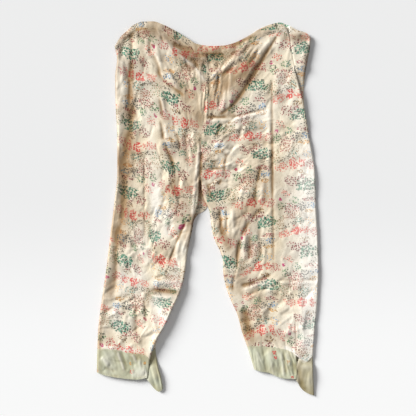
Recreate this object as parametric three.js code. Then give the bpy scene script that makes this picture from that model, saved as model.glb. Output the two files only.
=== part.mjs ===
// Capri trousers of figured silk with plain satin cuffs, laid flat with the front uppermost.
//
// Millimetres. +X is the wearer's left, +Y runs up to the waist, and +Z points away from the surface
// that the garment lies on. The origin is the middle of the footprint, on that surface.
//
// Each piece is a wall of cloth. In plan it is a patch between two side lines and two end lines. The back
// pieces lie flat on z = 0, and the front pieces lie on them, lifted by their creases and folds. Where a
// strip of the back shows beside the front, it stands up in a soft roll.
import * as THREE from "three";

// Cloth
const SILK = 1.2; // wall of a leg panel
const CASING = 2.0; // wall of the waistband, which is turned double
const SATIN = 1.4; // wall of a cuff
const SEAM = 0.3; // gap between two pieces that are sewn together
const LAYER_GAP = 0.3; // gap between the thickest back piece and the front
const CASING_DEPTH = 17; // height of the waistband

// How the cloth lies
const PUFF = 2.2; // height that the front keeps over the back away from any fold
const TURN = 9; // width over which a folded side turns down
const SIDE_LIFT = 0.6; // height that the back gains at a folded side
const ROLL = 4.5; // height of the widest strip of the back that shows beside the front
const ROLL_WIDTH = 22; // width of a strip that reaches that height
const ROLL_CLEAR = 6; // distance from the front's edge at which the roll starts
const FRONT_LEVEL = CASING + LAYER_GAP;
const FORK = { low: 55, high: 90 }; // heights between which the centre seam opens into two inseams

// Mesh
const LEG_CELLS = { across: 24, along: 44 };
const BACK_CELLS = { across: 14, along: 20 };
const BAND_CELLS = { along: 2 };
const CUFF_CELLS = { along: 6 };

// Side lines, from the waist down: x at each height y.
const RIGHT_SIDE = [
  { y: 356, x: -204 },
  { y: 327, x: -199 },
  { y: 291, x: -203 },
  { y: 239, x: -202.5 },
  { y: 151, x: -198.5 },
  { y: 80, x: -198.5 },
  { y: 10, x: -205.5 },
  { y: -60, x: -214 },
  { y: -131, x: -222.5 },
  { y: -201, x: -232.5 },
  { y: -272, x: -241 },
  { y: -360, x: -243.5 },
];
const LEFT_SIDE = [
  { y: 377, x: 226 },
  { y: 349, x: 224 },
  { y: 327, x: 219.5 },
  { y: 291, x: 213.5 },
  { y: 256, x: 210.5 },
  { y: 221, x: 212.5 },
  { y: 151, x: 224 },
  { y: 80, x: 235.5 },
  { y: 10, x: 237.5 },
  { y: -60, x: 241.5 },
  { y: -131, x: 243.4 },
  { y: -201, x: 241 },
  { y: -272, x: 234.5 },
  { y: -330, x: 231 },
  { y: -409, x: 233.5 },
];
// The front stops short of the left side at the hip, where the back shows beside it.
const LEFT_FRONT_HIP = [
  { y: 382, x: 178.5 },
  { y: 366, x: 180 },
  { y: 314, x: 190 },
  { y: 270, x: 200 },
  { y: 232, x: 210 },
];

// Centre seam, and the inner side lines that fork from it.
const CENTRE_SEAM = [
  { y: 360, x: 0 },
  { y: 283, x: -4 },
  { y: 195, x: -10 },
  { y: 135, x: -15 },
  { y: 96, x: -17 },
];
const RIGHT_INSEAM = [
  { y: 52, x: -18.5 },
  { y: 15, x: -21 },
  { y: -8, x: -27 },
  { y: -30, x: -33 },
  { y: -60, x: -38.5 },
  { y: -90, x: -44.5 },
  { y: -131, x: -49 },
  { y: -160, x: -54 },
  { y: -184, x: -61.5 },
  { y: -219, x: -77.5 },
  { y: -254, x: -93 },
  { y: -289, x: -112.5 },
  { y: -331, x: -127 },
  { y: -375, x: -132 },
];
const LEFT_INSEAM = [
  { y: 52, x: -15 },
  { y: 20, x: -8 },
  { y: 5, x: 0 },
  { y: -8, x: 4.5 },
  { y: -25, x: 7 },
  { y: -52, x: 10.5 },
  { y: -74, x: 18 },
  { y: -96, x: 28.5 },
  { y: -118, x: 34 },
  { y: -140, x: 34.5 },
  { y: -166, x: 39 },
  { y: -201, x: 51 },
  { y: -236, x: 66.5 },
  { y: -272, x: 76 },
  { y: -303, x: 87 },
  { y: -351, x: 102 },
];
// The right back reaches past the front at the crotch and beside the cuff.
const RIGHT_BACK_INNER = [
  { y: 52, x: -15.5 },
  { y: 20, x: -9 },
  { y: 6, x: -2 },
  { y: -1, x: -4 },
  { y: -14, x: -22 },
  { y: -28, x: -31 },
  { y: -44, x: -33.5 },
  { y: -78, x: -41 },
  { y: -118, x: -48 },
  { y: -160, x: -54 },
  { y: -219, x: -77.5 },
  { y: -280, x: -108 },
  { y: -307, x: -115 },
  { y: -342, x: -110.5 },
  { y: -377, x: -101.5 },
  { y: -395, x: -98.5 },
];

// End lines, from the wearer's right to left: y at each x.
const FRONT_WAIST = [
  { x: -204, y: 356 },
  { x: -191, y: 377 },
  { x: -177, y: 390 },
  { x: -164, y: 402 },
  { x: -144, y: 410 },
  { x: -120, y: 410.5 },
  { x: -98, y: 403.5 },
  { x: -72, y: 390.5 },
  { x: -45, y: 374 },
  { x: -24, y: 361 },
  { x: 10, y: 356.5 },
  { x: 38, y: 358 },
  { x: 60, y: 364.5 },
  { x: 86, y: 377 },
  { x: 112, y: 391.5 },
  { x: 139, y: 400 },
  { x: 163, y: 404 },
  { x: 172, y: 397 },
  { x: 179, y: 381 },
];
const LEFT_BACK_WAIST = [
  { x: 86, y: 376 },
  { x: 112, y: 394 },
  { x: 139, y: 405 },
  { x: 158, y: 409 },
  { x: 178, y: 402 },
  { x: 198, y: 391 },
  { x: 216, y: 386 },
  { x: 225, y: 377 },
];
const RIGHT_CUFF_SEAM = [
  { x: -242, y: -309 },
  { x: -220, y: -308 },
  { x: -197, y: -311 },
  { x: -175, y: -317 },
  { x: -153, y: -319 },
  { x: -138, y: -321 },
  { x: -127, y: -331 },
];
const LEFT_CUFF_SEAM = [
  { x: 86, y: -301.5 },
  { x: 119, y: -302.5 },
  { x: 148, y: -306 },
  { x: 172, y: -310 },
  { x: 185, y: -315.5 },
  { x: 196, y: -324.5 },
  { x: 207, y: -332 },
  { x: 217, y: -336.5 },
  { x: 231, y: -322 },
];
const RIGHT_HEM = [
  { x: -243.5, y: -360 },
  { x: -230, y: -365 },
  { x: -204, y: -370.5 },
  { x: -178, y: -374 },
  { x: -156, y: -375.5 },
  { x: -131, y: -371 },
];
const LEFT_HEM = [
  { x: 101, y: -353 },
  { x: 119, y: -358.5 },
  { x: 133, y: -360.5 },
  { x: 152, y: -369 },
  { x: 166, y: -373 },
  { x: 196, y: -374.5 },
];
// The back of each cuff hangs lower than the front on one side.
const RIGHT_BACK_HEM = [
  { x: -243.5, y: -358 },
  { x: -200, y: -365 },
  { x: -150, y: -371 },
  { x: -133, y: -376 },
  { x: -125, y: -386 },
  { x: -116, y: -397 },
  { x: -107, y: -402.5 },
  { x: -98.5, y: -396 },
];
const LEFT_BACK_HEM = [
  { x: 101, y: -349 },
  { x: 150, y: -364 },
  { x: 186, y: -370 },
  { x: 195, y: -378 },
  { x: 203, y: -392 },
  { x: 212, y: -401.5 },
  { x: 221, y: -406.5 },
  { x: 233, y: -410.5 },
];
const BACK_CUFF_SEAM = [
  { x: -243, y: -306 },
  { x: -116, y: -309 },
  { x: 86, y: -301 },
  { x: 231, y: -318 },
];
const LEFT_CUFF_EDGE = 195; // x where the front of the left cuff turns under

// Folds of the front. Each runs from (x1, y1) to (x2, y2) and bows to the left of that way by bow. It rises
// by rise over a half width of width. A lean over 0 makes its left flank the steeper, and under 0 its right.
const FOLDS = [
  // right hip and the hang from the right peak of the waist
  { x1: -162, y1: 382, x2: -186, y2: 165, bow: 0, width: 10, rise: -3.2, lean: 0 },
  { x1: -145, y1: 378, x2: -160, y2: 150, bow: 0, width: 16, rise: 2.6, lean: 0 },
  { x1: -191, y1: 335, x2: -190, y2: 180, bow: 0, width: 7, rise: 2.5, lean: 0 },
  { x1: -126, y1: 402, x2: -107, y2: 290, bow: -4, width: 8, rise: 2.5, lean: 0 },
  { x1: -105, y1: 378, x2: -34, y2: 334, bow: -4, width: 9, rise: -2.5, lean: 0 },
  { x1: -118, y1: 402, x2: -8, y2: 285, bow: -12, width: 13, rise: 3.5, lean: 0.2 },
  { x1: -105, y1: 261, x2: -87, y2: 137, bow: 0, width: 6, rise: -2.2, lean: 0 },
  // left peak of the waist, down into the swag
  { x1: 168, y1: 384, x2: 60, y2: 205, bow: 14, width: 12, rise: 5, lean: -0.5 },
  { x1: 151, y1: 384, x2: 18, y2: 200, bow: 13, width: 7, rise: -3.5, lean: 0 },
  { x1: 140, y1: 388, x2: 40, y2: 262, bow: 10, width: 9, rise: 3, lean: 0 },
  { x1: 134, y1: 382, x2: 86, y2: 313, bow: 3, width: 5, rise: -2, lean: 0 },
  { x1: 172, y1: 366, x2: 197, y2: 250, bow: 0, width: 10, rise: 3, lean: 0.3 },
  // the swag, hollow above its lower edge
  { x1: 92, y1: 240, x2: -12, y2: 228, bow: 4, width: 22, rise: -2.5, lean: 0 },
  { x1: 143, y1: 215, x2: -32, y2: 189, bow: 5, width: 16, rise: 6, lean: -0.65 },
  // stored creases down the middle of each leg
  { x1: 141, y1: 225, x2: 141, y2: -146, bow: 0, width: 4.5, rise: -2.5, lean: 0 },
  { x1: -138, y1: 165, x2: -134, y2: -179, bow: 0, width: 4.5, rise: -1.8, lean: 0 },
  // crotch
  { x1: -46, y1: 160, x2: -18, y2: 140, bow: 3, width: 6, rise: 3, lean: 0 },
  { x1: -24, y1: 145, x2: -28, y2: 0, bow: 0, width: 6, rise: 4, lean: 0.2 },
  { x1: -13, y1: 160, x2: -16, y2: 0, bow: 0, width: 5.5, rise: -7, lean: 0 },
  { x1: -1, y1: 95, x2: 4, y2: 5, bow: 0, width: 6, rise: 4, lean: 0 },
  { x1: 44, y1: 118, x2: 36, y2: 61, bow: 0, width: 4.5, rise: -2.5, lean: 0 },
  { x1: 25, y1: 66, x2: 22, y2: 22, bow: 0, width: 4.5, rise: -2.5, lean: 0 },
  { x1: 42, y1: 98, x2: 137, y2: 124, bow: 0, width: 7, rise: 2.5, lean: 0 },
  { x1: 38, y1: 129, x2: 132, y2: 162, bow: 0, width: 8, rise: 2, lean: 0 },
  // left thigh
  { x1: 118, y1: 68, x2: 104, y2: -120, bow: -6, width: 5.5, rise: 4, lean: -0.3 },
  { x1: 106, y1: 60, x2: 93, y2: -12, bow: 0, width: 5, rise: -3, lean: 0 },
  { x1: 92, y1: -28, x2: 67, y2: -150, bow: 0, width: 7, rise: -3, lean: 0 },
  { x1: 79, y1: 5, x2: 56, y2: -122, bow: 0, width: 9, rise: 2.6, lean: 0 },
  { x1: 17, y1: -25, x2: 41, y2: -127, bow: 0, width: 5, rise: -2.5, lean: 0 },
  { x1: 35, y1: -8, x2: 55, y2: -118, bow: 0, width: 8, rise: 2.6, lean: 0 },
  // left knee
  { x1: 44, y1: -193, x2: 140, y2: -150, bow: 0, width: 13, rise: 4.5, lean: 0.6 },
  { x1: 166, y1: -169, x2: 243, y2: -165, bow: 0, width: 9, rise: 2, lean: 0.5 },
  // right thigh and knee
  { x1: -38, y1: -24, x2: -80, y2: -118, bow: 0, width: 12, rise: 5, lean: 0.6 },
  { x1: -80, y1: -112, x2: -128, y2: -160, bow: 8, width: 12, rise: 5, lean: 0.6 },
  { x1: -226, y1: -146, x2: -136, y2: -168, bow: 0, width: 8, rise: 2.5, lean: 0.5 },
  { x1: -130, y1: -201, x2: -60, y2: -205, bow: 0, width: 9, rise: 3, lean: 0.6 },
  { x1: -226, y1: -224, x2: -202, y2: -194, bow: 0, width: 6, rise: 2.5, lean: 0 },
  { x1: -156, y1: -232, x2: -135, y2: -198, bow: 0, width: 6, rise: 2.5, lean: 0 },
  { x1: -127, y1: -240, x2: -119, y2: -300, bow: 0, width: 5, rise: -2.5, lean: 0 },
  // gathers of the cuffs
  { x1: -196, y1: -308, x2: -181, y2: -356, bow: 0, width: 5, rise: 3, lean: 0.3 },
  { x1: -165, y1: -322, x2: -166, y2: -372, bow: 0, width: 6, rise: -2, lean: 0 },
  { x1: -162, y1: -345, x2: -138, y2: -366, bow: 0, width: 5, rise: 2.5, lean: 0 },
  { x1: 105, y1: -304, x2: 118, y2: -356, bow: 0, width: 6, rise: 2, lean: 0 },
  { x1: 133, y1: -304, x2: 143, y2: -362, bow: 0, width: 6, rise: 2.5, lean: 0 },
  { x1: 155, y1: -308, x2: 165, y2: -368, bow: 0, width: 5, rise: 2.5, lean: 0 },
  { x1: 176, y1: -314, x2: 182, y2: -372, bow: 0, width: 5, rise: 2, lean: 0 },
];

const lerp = (a, b, t) => a + (b - a) * t;
const clamp = (t) => Math.min(1, Math.max(0, t));
const smooth = (t) => clamp(t) ** 2 * (3 - 2 * clamp(t));

// A smooth line through rows that hold two named columns, flat beyond its ends and with no overshoot.
function through(rows, from, to) {
  const points = rows.map((row) => [row[from], row[to]]).sort((a, b) => a[0] - b[0]);
  const slopes = points.slice(1).map((p, i) => (p[1] - points[i][1]) / (p[0] - points[i][0]));
  const tangents = points.map((_, i) => {
    const before = slopes[Math.max(0, i - 1)];
    const after = slopes[Math.min(slopes.length - 1, i)];
    return before * after <= 0 ? 0 : (2 * before * after) / (before + after);
  });
  return (t) => {
    if (t <= points[0][0]) return points[0][1];
    if (t >= points.at(-1)[0]) return points.at(-1)[1];
    const i = points.findIndex((p) => p[0] > t) - 1;
    const step = points[i + 1][0] - points[i][0];
    const s = (t - points[i][0]) / step;
    const start = points[i][1] * (1 + 2 * s) * (1 - s) ** 2 + tangents[i] * step * s * (1 - s) ** 2;
    const end = points[i + 1][1] * s * s * (3 - 2 * s) + tangents[i + 1] * step * s * s * (s - 1);
    return start + end;
  };
}

// A line moved down by a distance measured square to it.
function lowered(line, distance) {
  const probe = 6;
  const steepest = 1.5;
  return (x) => {
    const slope = (line(x + probe) - line(x - probe)) / (2 * probe);
    return line(x) - distance * Math.hypot(1, Math.min(steepest, Math.abs(slope)));
  };
}

const rightSide = through(RIGHT_SIDE, "y", "x");
const leftSide = through(LEFT_SIDE, "y", "x");
const leftFrontSide = through([...LEFT_FRONT_HIP, ...LEFT_SIDE.filter((row) => row.y < 200)], "y", "x");
const rightInner = through([...CENTRE_SEAM, ...RIGHT_INSEAM], "y", "x");
const leftInner = through([...CENTRE_SEAM, ...LEFT_INSEAM], "y", "x");
const rightBackInner = through([...CENTRE_SEAM, ...RIGHT_BACK_INNER], "y", "x");

const frontWaist = through(FRONT_WAIST, "x", "y");
const backWaist = through([...FRONT_WAIST.filter((row) => row.x < 60), ...LEFT_BACK_WAIST], "x", "y");
const rightCuffSeam = through(RIGHT_CUFF_SEAM, "x", "y");
const leftCuffSeam = through(LEFT_CUFF_SEAM, "x", "y");
const backCuffSeam = through(BACK_CUFF_SEAM, "x", "y");
const rightHem = through(RIGHT_HEM, "x", "y");
const leftHem = through(LEFT_HEM, "x", "y");
const rightBackHem = through(RIGHT_BACK_HEM, "x", "y");
const leftBackHem = through(LEFT_BACK_HEM, "x", "y");

const moved = (line, distance) => (t) => line(t) + distance;

// Height that one fold adds at a point in plan.
function foldAt(fold, x, y) {
  const dx = fold.x2 - fold.x1;
  const dy = fold.y2 - fold.y1;
  const length = Math.hypot(dx, dy);
  const along = ((x - fold.x1) * dx + (y - fold.y1) * dy) / length ** 2;
  const t = clamp(along);
  const beyond = (along - t) * length;
  const aside = ((y - fold.y1) * dx - (x - fold.x1) * dy) / length - fold.bow * 4 * t * (1 - t);
  const flank = fold.width * (aside > 0 ? 1 - fold.lean : 1 + fold.lean);
  const fade = smooth((0.5 - Math.abs(t - 0.5)) / 0.22);
  return fold.rise * fade * Math.exp(-((aside / flank) ** 2) - (beyond / fold.width) ** 2);
}

// 0 at a folded side, rising in a quarter round to 1.
const turnUp = (inside) => Math.sqrt(1 - (1 - clamp(inside / TURN)) ** 2);

// Distance from the folded sides of a leg's front. The centre seam isn't a folded side.
function insideLeg(x, y) {
  const seamed = smooth((y - FORK.low) / (FORK.high - FORK.low)) * 2 * TURN;
  const onRight = x < (rightInner(y) + leftInner(y)) / 2;
  return onRight
    ? Math.min(x - rightSide(y), rightInner(y) - x + seamed)
    : Math.min(leftFrontSide(y) - x, x - leftInner(y) + seamed);
}

// Height of the front's inner face, for a piece whose folded sides are inside(x, y) away.
const frontHeight = (inside) => (x, y) => {
  const height = FOLDS.reduce((sum, fold) => sum + foldAt(fold, x, y), PUFF);
  const positive = (height + Math.hypot(height, 1)) / 2;
  return FRONT_LEVEL + positive * turnUp(inside(x, y));
};

// Height of a back piece over the surface. Its folded sides lift a little, and a strip that shows between
// the front's edge and its own edge stands in a roll.
const backHeight = (inside, sideLift = SIDE_LIFT) => (x, y) => {
  const strips = [
    { from: leftFrontSide(y), to: leftSide(y), shows: smooth(y / 20) },
    { from: rightInner(y), to: rightBackInner(y), shows: smooth((-250 - y) / 20) },
    { from: LEFT_CUFF_EDGE, to: leftSide(y), shows: smooth((-342 - y) / 20) },
  ];
  const roll = strips.reduce((height, { from, to, shows }) => {
    const width = to - from - ROLL_CLEAR;
    const out = x - from - ROLL_CLEAR;
    if (out < 0 || out > width) return height;
    return height + ROLL * shows * clamp(width / ROLL_WIDTH) * Math.sin((Math.PI * out) / width) ** 2;
  }, 0);
  return sideLift * (1 - turnUp(inside(x, y))) + roll;
};

// n + 1 shares from 0 to 1, closer together near both ends, where the sides turn.
function shares(n, crowding) {
  return Array.from({ length: n + 1 }, (_, i) => {
    const t = i / n;
    return lerp(t, (1 - Math.cos(Math.PI * t)) / 2, crowding);
  });
}

// The point in plan at share u from the low side line to the high one, and share v down from the top line.
function planOf({ low, high, top, bottom }, u, v) {
  const settle = 16;
  let x = lerp(low(0), high(0), u);
  let y = 0;
  for (let i = 0; i < settle; i++) {
    y = lerp(top(x), bottom(x), v);
    x = lerp(low(y), high(y), u);
  }
  return [x, y];
}

// The shares across a patch that put the points of its end line at xs, between its two corners.
const sharesAt = ({ low, high }, line, xs) => [
  0,
  ...xs.map((x) => (x - low(line(x))) / (high(line(x)) - low(line(x)))).filter((u) => u > 0 && u < 1),
  1,
];

// Places in plan of the points along the end of a patch, without its corners.
const stations = (patch, us, v) => us.slice(1, -1).map((u) => planOf(patch, u, v)[0]);

// A closed wall of cloth whose middle surface is patch, lifted by height(x, y). It is thickened square to
// that surface, and straight up along its border, so that neighbours keep their gap.
function clothWall(name, color, { patch, us, along, wall, height, roughness = 0.5 }) {
  const vs = shares(along, 0);
  const middle = vs.map((v) =>
    us.map((u) => {
      const [x, y] = planOf(patch, u, v);
      return new THREE.Vector3(x, y, height(x, y) + wall / 2);
    }),
  );
  const normalAt = (i, j) => {
    const onBorder = i === 0 || j === 0 || i === vs.length - 1 || j === us.length - 1;
    if (onBorder) return new THREE.Vector3(0, 0, 1);
    const across = middle[i][j + 1].clone().sub(middle[i][j - 1]);
    const up = middle[i - 1][j].clone().sub(middle[i + 1][j]);
    return across.cross(up).normalize();
  };
  const positions = [];
  for (const side of [1, -1])
    vs.forEach((_, i) =>
      us.forEach((_, j) => {
        const point = middle[i][j].clone().addScaledVector(normalAt(i, j), (side * wall) / 2);
        positions.push(...point.toArray());
      }),
    );
  const columns = us.length;
  const under = vs.length * columns;
  const faces = [];
  const quad = (a, b, c, d) => faces.push(a, b, c, a, c, d);
  for (let i = 0; i + 1 < vs.length; i++)
    for (let j = 0; j + 1 < columns; j++) {
      const [a, b] = [i * columns + j, i * columns + j + 1];
      const [c, d] = [b + columns, a + columns];
      quad(a, d, c, b);
      quad(under + a, under + b, under + c, under + d);
    }
  for (let j = 0; j + 1 < columns; j++) {
    const last = (vs.length - 1) * columns;
    quad(j, j + 1, under + j + 1, under + j);
    quad(last + j + 1, last + j, under + last + j, under + last + j + 1);
  }
  for (let i = 0; i + 1 < vs.length; i++) {
    const [a, d] = [i * columns, (i + 1) * columns];
    const [b, c] = [a + columns - 1, d + columns - 1];
    quad(d, a, under + a, under + d);
    quad(b, c, under + c, under + b);
  }
  const geometry = new THREE.BufferGeometry();
  geometry.setAttribute("position", new THREE.Float32BufferAttribute(positions, 3));
  geometry.setIndex(faces);
  geometry.computeVertexNormals();
  const material = new THREE.MeshStandardMaterial({ color, roughness, metalness: 0 });
  const mesh = new THREE.Mesh(geometry, material);
  mesh.name = name;
  return mesh;
}

const IVORY = 0xe3d9c2;
const SAGE = 0xb4b896;

const between = ({ low, high }) => (x, y) => Math.min(x - low(y), high(y) - x);

// Leg panels
const head = (waist) => lowered(waist, CASING_DEPTH + SEAM);
const legs = {
  front_right_leg: {
    low: rightSide,
    high: moved(rightInner, -SEAM / 2),
    top: head(frontWaist),
    bottom: rightCuffSeam,
  },
  front_left_leg: {
    low: moved(leftInner, SEAM / 2),
    high: leftFrontSide,
    top: head(frontWaist),
    bottom: leftCuffSeam,
  },
  back_right_leg: {
    low: rightSide,
    high: moved(rightBackInner, -SEAM / 2),
    top: head(backWaist),
    bottom: backCuffSeam,
  },
  back_left_leg: {
    low: moved(leftInner, SEAM / 2),
    high: leftSide,
    top: head(backWaist),
    bottom: backCuffSeam,
  },
};
const frontShares = shares(LEG_CELLS.across, 0.5);
const backShares = shares(BACK_CELLS.across, 0.75);

// The waistband's foot has its points over those of the two legs below it.
function bandOn(waist, high, right, left, us) {
  const patch = { low: rightSide, high, top: waist, bottom: lowered(waist, CASING_DEPTH) };
  const centre = planOf(right, 1, 0)[0];
  const xs = [...stations(right, us, 0), centre, ...stations(left, us, 0)];
  return { patch, us: sharesAt(patch, patch.bottom, xs), along: BAND_CELLS.along, wall: CASING };
}

// A cuff hangs from a leg, with its points under those of the leg.
function cuffUnder(leg, us, { low, high, hem }) {
  const patch = { low, high, top: moved(leg.bottom, -SEAM), bottom: hem };
  const xs = stations(leg, us, 1);
  return { patch, us: sharesAt(patch, patch.top, xs), along: CUFF_CELLS.along, wall: SATIN, roughness: 0.4 };
}

const garment = new THREE.Group();
for (const [name, patch] of Object.entries(legs)) {
  const front = name.startsWith("front");
  garment.add(
    clothWall(name, IVORY, {
      patch,
      us: front ? frontShares : backShares,
      along: front ? LEG_CELLS.along : BACK_CELLS.along,
      wall: SILK,
      height: front ? frontHeight(insideLeg) : backHeight(between(patch)),
    }),
  );
}

// Waistband, a casing along the top of the front and of the back
const { front_right_leg, front_left_leg, back_right_leg, back_left_leg } = legs;
const frontBand = bandOn(frontWaist, leftFrontSide, front_right_leg, front_left_leg, frontShares);
const backBand = bandOn(backWaist, leftSide, back_right_leg, back_left_leg, backShares);
garment.add(
  clothWall("waistband_front", IVORY, { ...frontBand, height: frontHeight(insideLeg) }),
  clothWall("waistband_back", IVORY, { ...backBand, height: backHeight(between(backBand.patch), 0) }),
);

// Cuffs, a front and a back to each leg
const cuffs = [
  { name: "cuff_right_front", leg: front_right_leg, low: rightSide, high: rightInner, hem: rightHem },
  { name: "cuff_left_front", leg: front_left_leg, low: leftInner, high: () => LEFT_CUFF_EDGE, hem: leftHem },
  { name: "cuff_right_back", leg: back_right_leg, low: rightSide, high: rightBackInner, hem: rightBackHem },
  { name: "cuff_left_back", leg: back_left_leg, low: leftInner, high: leftSide, hem: leftBackHem },
];
for (const { name, leg, ...sides } of cuffs) {
  const front = name.endsWith("front");
  const cuff = cuffUnder(leg, front ? frontShares : backShares, sides);
  const inside = between(cuff.patch);
  const height = front ? frontHeight(inside) : backHeight(inside);
  garment.add(clothWall(name, SAGE, { ...cuff, height }));
}

export default garment;
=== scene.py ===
"""Capri trousers of figured silk with satin cuffs, laid flat and seen from straight above.

The tables are in millimetres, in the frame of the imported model: +X is the wearer's left, +Y runs up to
the waist and +Z points away from the surface that the garment lies on. Meshes are made in metres.
"""
import math
from collections import namedtuple

import bpy
import numpy as np
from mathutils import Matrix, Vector


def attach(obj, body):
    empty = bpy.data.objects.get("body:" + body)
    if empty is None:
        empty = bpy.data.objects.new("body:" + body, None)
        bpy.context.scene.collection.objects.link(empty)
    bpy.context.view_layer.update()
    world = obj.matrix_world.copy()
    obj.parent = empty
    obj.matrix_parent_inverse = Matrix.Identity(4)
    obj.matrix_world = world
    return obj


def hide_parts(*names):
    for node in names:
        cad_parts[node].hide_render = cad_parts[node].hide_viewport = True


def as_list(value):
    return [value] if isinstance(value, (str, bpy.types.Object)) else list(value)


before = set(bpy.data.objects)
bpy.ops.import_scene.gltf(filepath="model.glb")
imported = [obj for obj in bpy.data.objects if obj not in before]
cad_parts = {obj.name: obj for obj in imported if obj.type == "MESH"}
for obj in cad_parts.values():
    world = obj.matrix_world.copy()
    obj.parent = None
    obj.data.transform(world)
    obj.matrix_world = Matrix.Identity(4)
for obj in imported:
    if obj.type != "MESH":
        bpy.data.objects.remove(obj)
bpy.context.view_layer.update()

MM = 0.001

# ---------------------------------------------------------------- outlines
# Side lines: x at each height y.
RIGHT_SIDE = {
    356: -204, 327: -199, 291: -203, 239: -202.5, 151: -198.5, 80: -198.5, 10: -205.5, -60: -214,
    -131: -222.5, -201: -232.5, -272: -241, -360: -243.5,
}
LEFT_SIDE = {
    377: 226, 349: 224, 327: 219.5, 291: 213.5, 256: 210.5, 221: 212.5, 151: 224, 80: 235.5, 10: 237.5,
    -60: 241.5, -131: 243.4, -201: 241, -272: 234.5, -330: 231, -409: 233.5,
}
LEFT_FRONT_HIP = {382: 178.5, 366: 180, 314: 190, 270: 200, 232: 210}
CENTRE_SEAM = {360: 0, 283: -4, 195: -10, 135: -15, 96: -17}
RIGHT_INSEAM = {
    52: -18.5, 15: -21, -8: -27, -30: -33, -60: -38.5, -90: -44.5, -131: -49, -160: -54, -184: -61.5,
    -219: -77.5, -254: -93, -289: -112.5, -331: -127, -375: -132,
}
LEFT_INSEAM = {
    52: -15, 20: -8, 5: 0, -8: 4.5, -25: 7, -52: 10.5, -74: 18, -96: 28.5, -118: 34, -140: 34.5, -166: 39,
    -201: 51, -236: 66.5, -272: 76, -303: 87, -351: 102,
}
RIGHT_BACK_INNER = {
    52: -15.5, 20: -9, 6: -2, -1: -4, -14: -22, -28: -31, -44: -33.5, -78: -41, -118: -48, -160: -54,
    -219: -77.5, -280: -108, -307: -115, -342: -110.5, -377: -101.5, -395: -98.5,
}

# End lines: y at each x.
FRONT_WAIST = {
    -204: 356, -191: 377, -177: 390, -164: 402, -144: 410, -120: 410.5, -98: 403.5, -72: 390.5, -45: 374,
    -24: 361, 10: 356.5, 38: 358, 60: 364.5, 86: 377, 112: 391.5, 139: 400, 163: 404, 172: 397, 179: 381,
}
LEFT_BACK_WAIST = {86: 376, 112: 394, 139: 405, 158: 409, 178: 402, 198: 391, 216: 386, 225: 377}
RIGHT_CUFF_SEAM = {-242: -309, -220: -308, -197: -311, -175: -317, -153: -319, -138: -321, -127: -331}
LEFT_CUFF_SEAM = {
    86: -301.5, 119: -302.5, 148: -306, 172: -310, 185: -315.5, 196: -324.5, 207: -332, 217: -336.5,
    231: -322,
}
RIGHT_HEM = {-243.5: -360, -230: -365, -204: -370.5, -178: -374, -156: -375.5, -131: -371}
LEFT_HEM = {101: -353, 119: -358.5, 133: -360.5, 152: -369, 166: -373, 196: -374.5}
RIGHT_BACK_HEM = {
    -243.5: -358, -200: -365, -150: -371, -133: -376, -125: -386, -116: -397, -107: -402.5, -98.5: -396,
}
LEFT_BACK_HEM = {
    101: -349, 150: -364, 186: -370, 195: -378, 203: -392, 212: -401.5, 221: -406.5, 233: -410.5,
}
BACK_CUFF_SEAM = {-243: -306, -116: -309, 86: -301, 231: -318}
LEFT_CUFF_EDGE = 195  # where the left cuff's front ends and its back shows

CASING_DEPTH = 17  # height of the waistband
TUCK = 4  # how far an edge runs on beneath its neighbour
FORK_LOW, FORK_HIGH = 55, 90  # the centre seam opens into two inseams between these heights

# ---------------------------------------------------------------- how the cloth lies
CLOTH = 0.8  # thickness of the silk and the satin as modelled
BACK_Z = 0.5  # middle of the back's cloth, where it rests
SIDE_Z = 1.7  # middle of the front's cloth at a folded side
FRONT_Z = 3.0  # middle of the front's cloth in its deepest hollows
PUFF = 4.4  # how much higher the front lies away from any fold
FLUSH = 5.2  # how much higher the front's edge lies where the back comes up beside it
TURN = 8  # how far in from a folded side the front is still rounding over
BRISKER = 1.8  # how much sharper it rounds over at the sides towards the light
SHARPER = 4  # and at the sides away from it
FOLD_GAIN = 0.76  # share of a fold's rise that is left once its neighbours pull on it
STEEPEST = 0.42  # most that a fold rises for its width
BROAD = 12  # folds wider than this get no painted shade or painted highlight along their line
SWELL_RISE = 0.6  # how far the front heaves between its folds
# Each net of creases that crushing leaves.
Crush = namedtuple("Crush", "size seed heading rise")
CRUSHES = (Crush(46, 31, 90, 0.95), Crush(24, 41, 60, 0.6))

# The strips of the back that show beside the front stand up in soft rolls.
ROLL_RISE = 7
ROLL_WIDTH = 22  # width of a strip whose roll stands at its full height
ROLL_CLEAR = 3  # distance from the front's edge at which a roll starts
ROLL_START = 10  # width over which it rises
ROLL_EDGE = 2  # width over which its far edge rounds over
ROLL_TIP = -410  # foot of the rolls beside the cuffs
TIP_LENGTH = 45  # how far above it they start to thin out
TIP_SHARE = 0.45  # share of their height that is left there
# The back comes up beside the front above the hip's foot and below the top of the cuffs.
HIP_FOOT, HIP_INNER = 225, 120
CUFF_TOP, LEFT_CUFF_INNER, RIGHT_CUFF_OUTER = -325, 150, -170

# ---------------------------------------------------------------- stitches
STITCH_LENGTH = 2.4
STITCH_PITCH = 3.6  # from the start of one stitch to the start of the next
STITCH_RINGS = 5  # rings of points along a stitch
STITCH_SIDES = 6  # points round each ring
THREAD = 0.3  # radius of the sewing thread
HEM_STITCH = 4  # from the hem's edge to its stitches
SEAM_STITCH = 2.5  # from a seam to the stitches beside it
# Where each row of stitches starts and ends across the garment.
HEM_ROWS = {
    "cuff_right_front": (-241, -134),
    "cuff_left_front": (103, 192),
    "cuff_right_back": (-124, -102),
    "cuff_left_back": (204, 229),
}
SEAM_ROWS = {"cuff_right_front": (-240, -130), "cuff_left_front": (91, 192)}
CASING_ROWS = {"waistband_front": (-198, 178), "waistband_back": (190, 222)}

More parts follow.
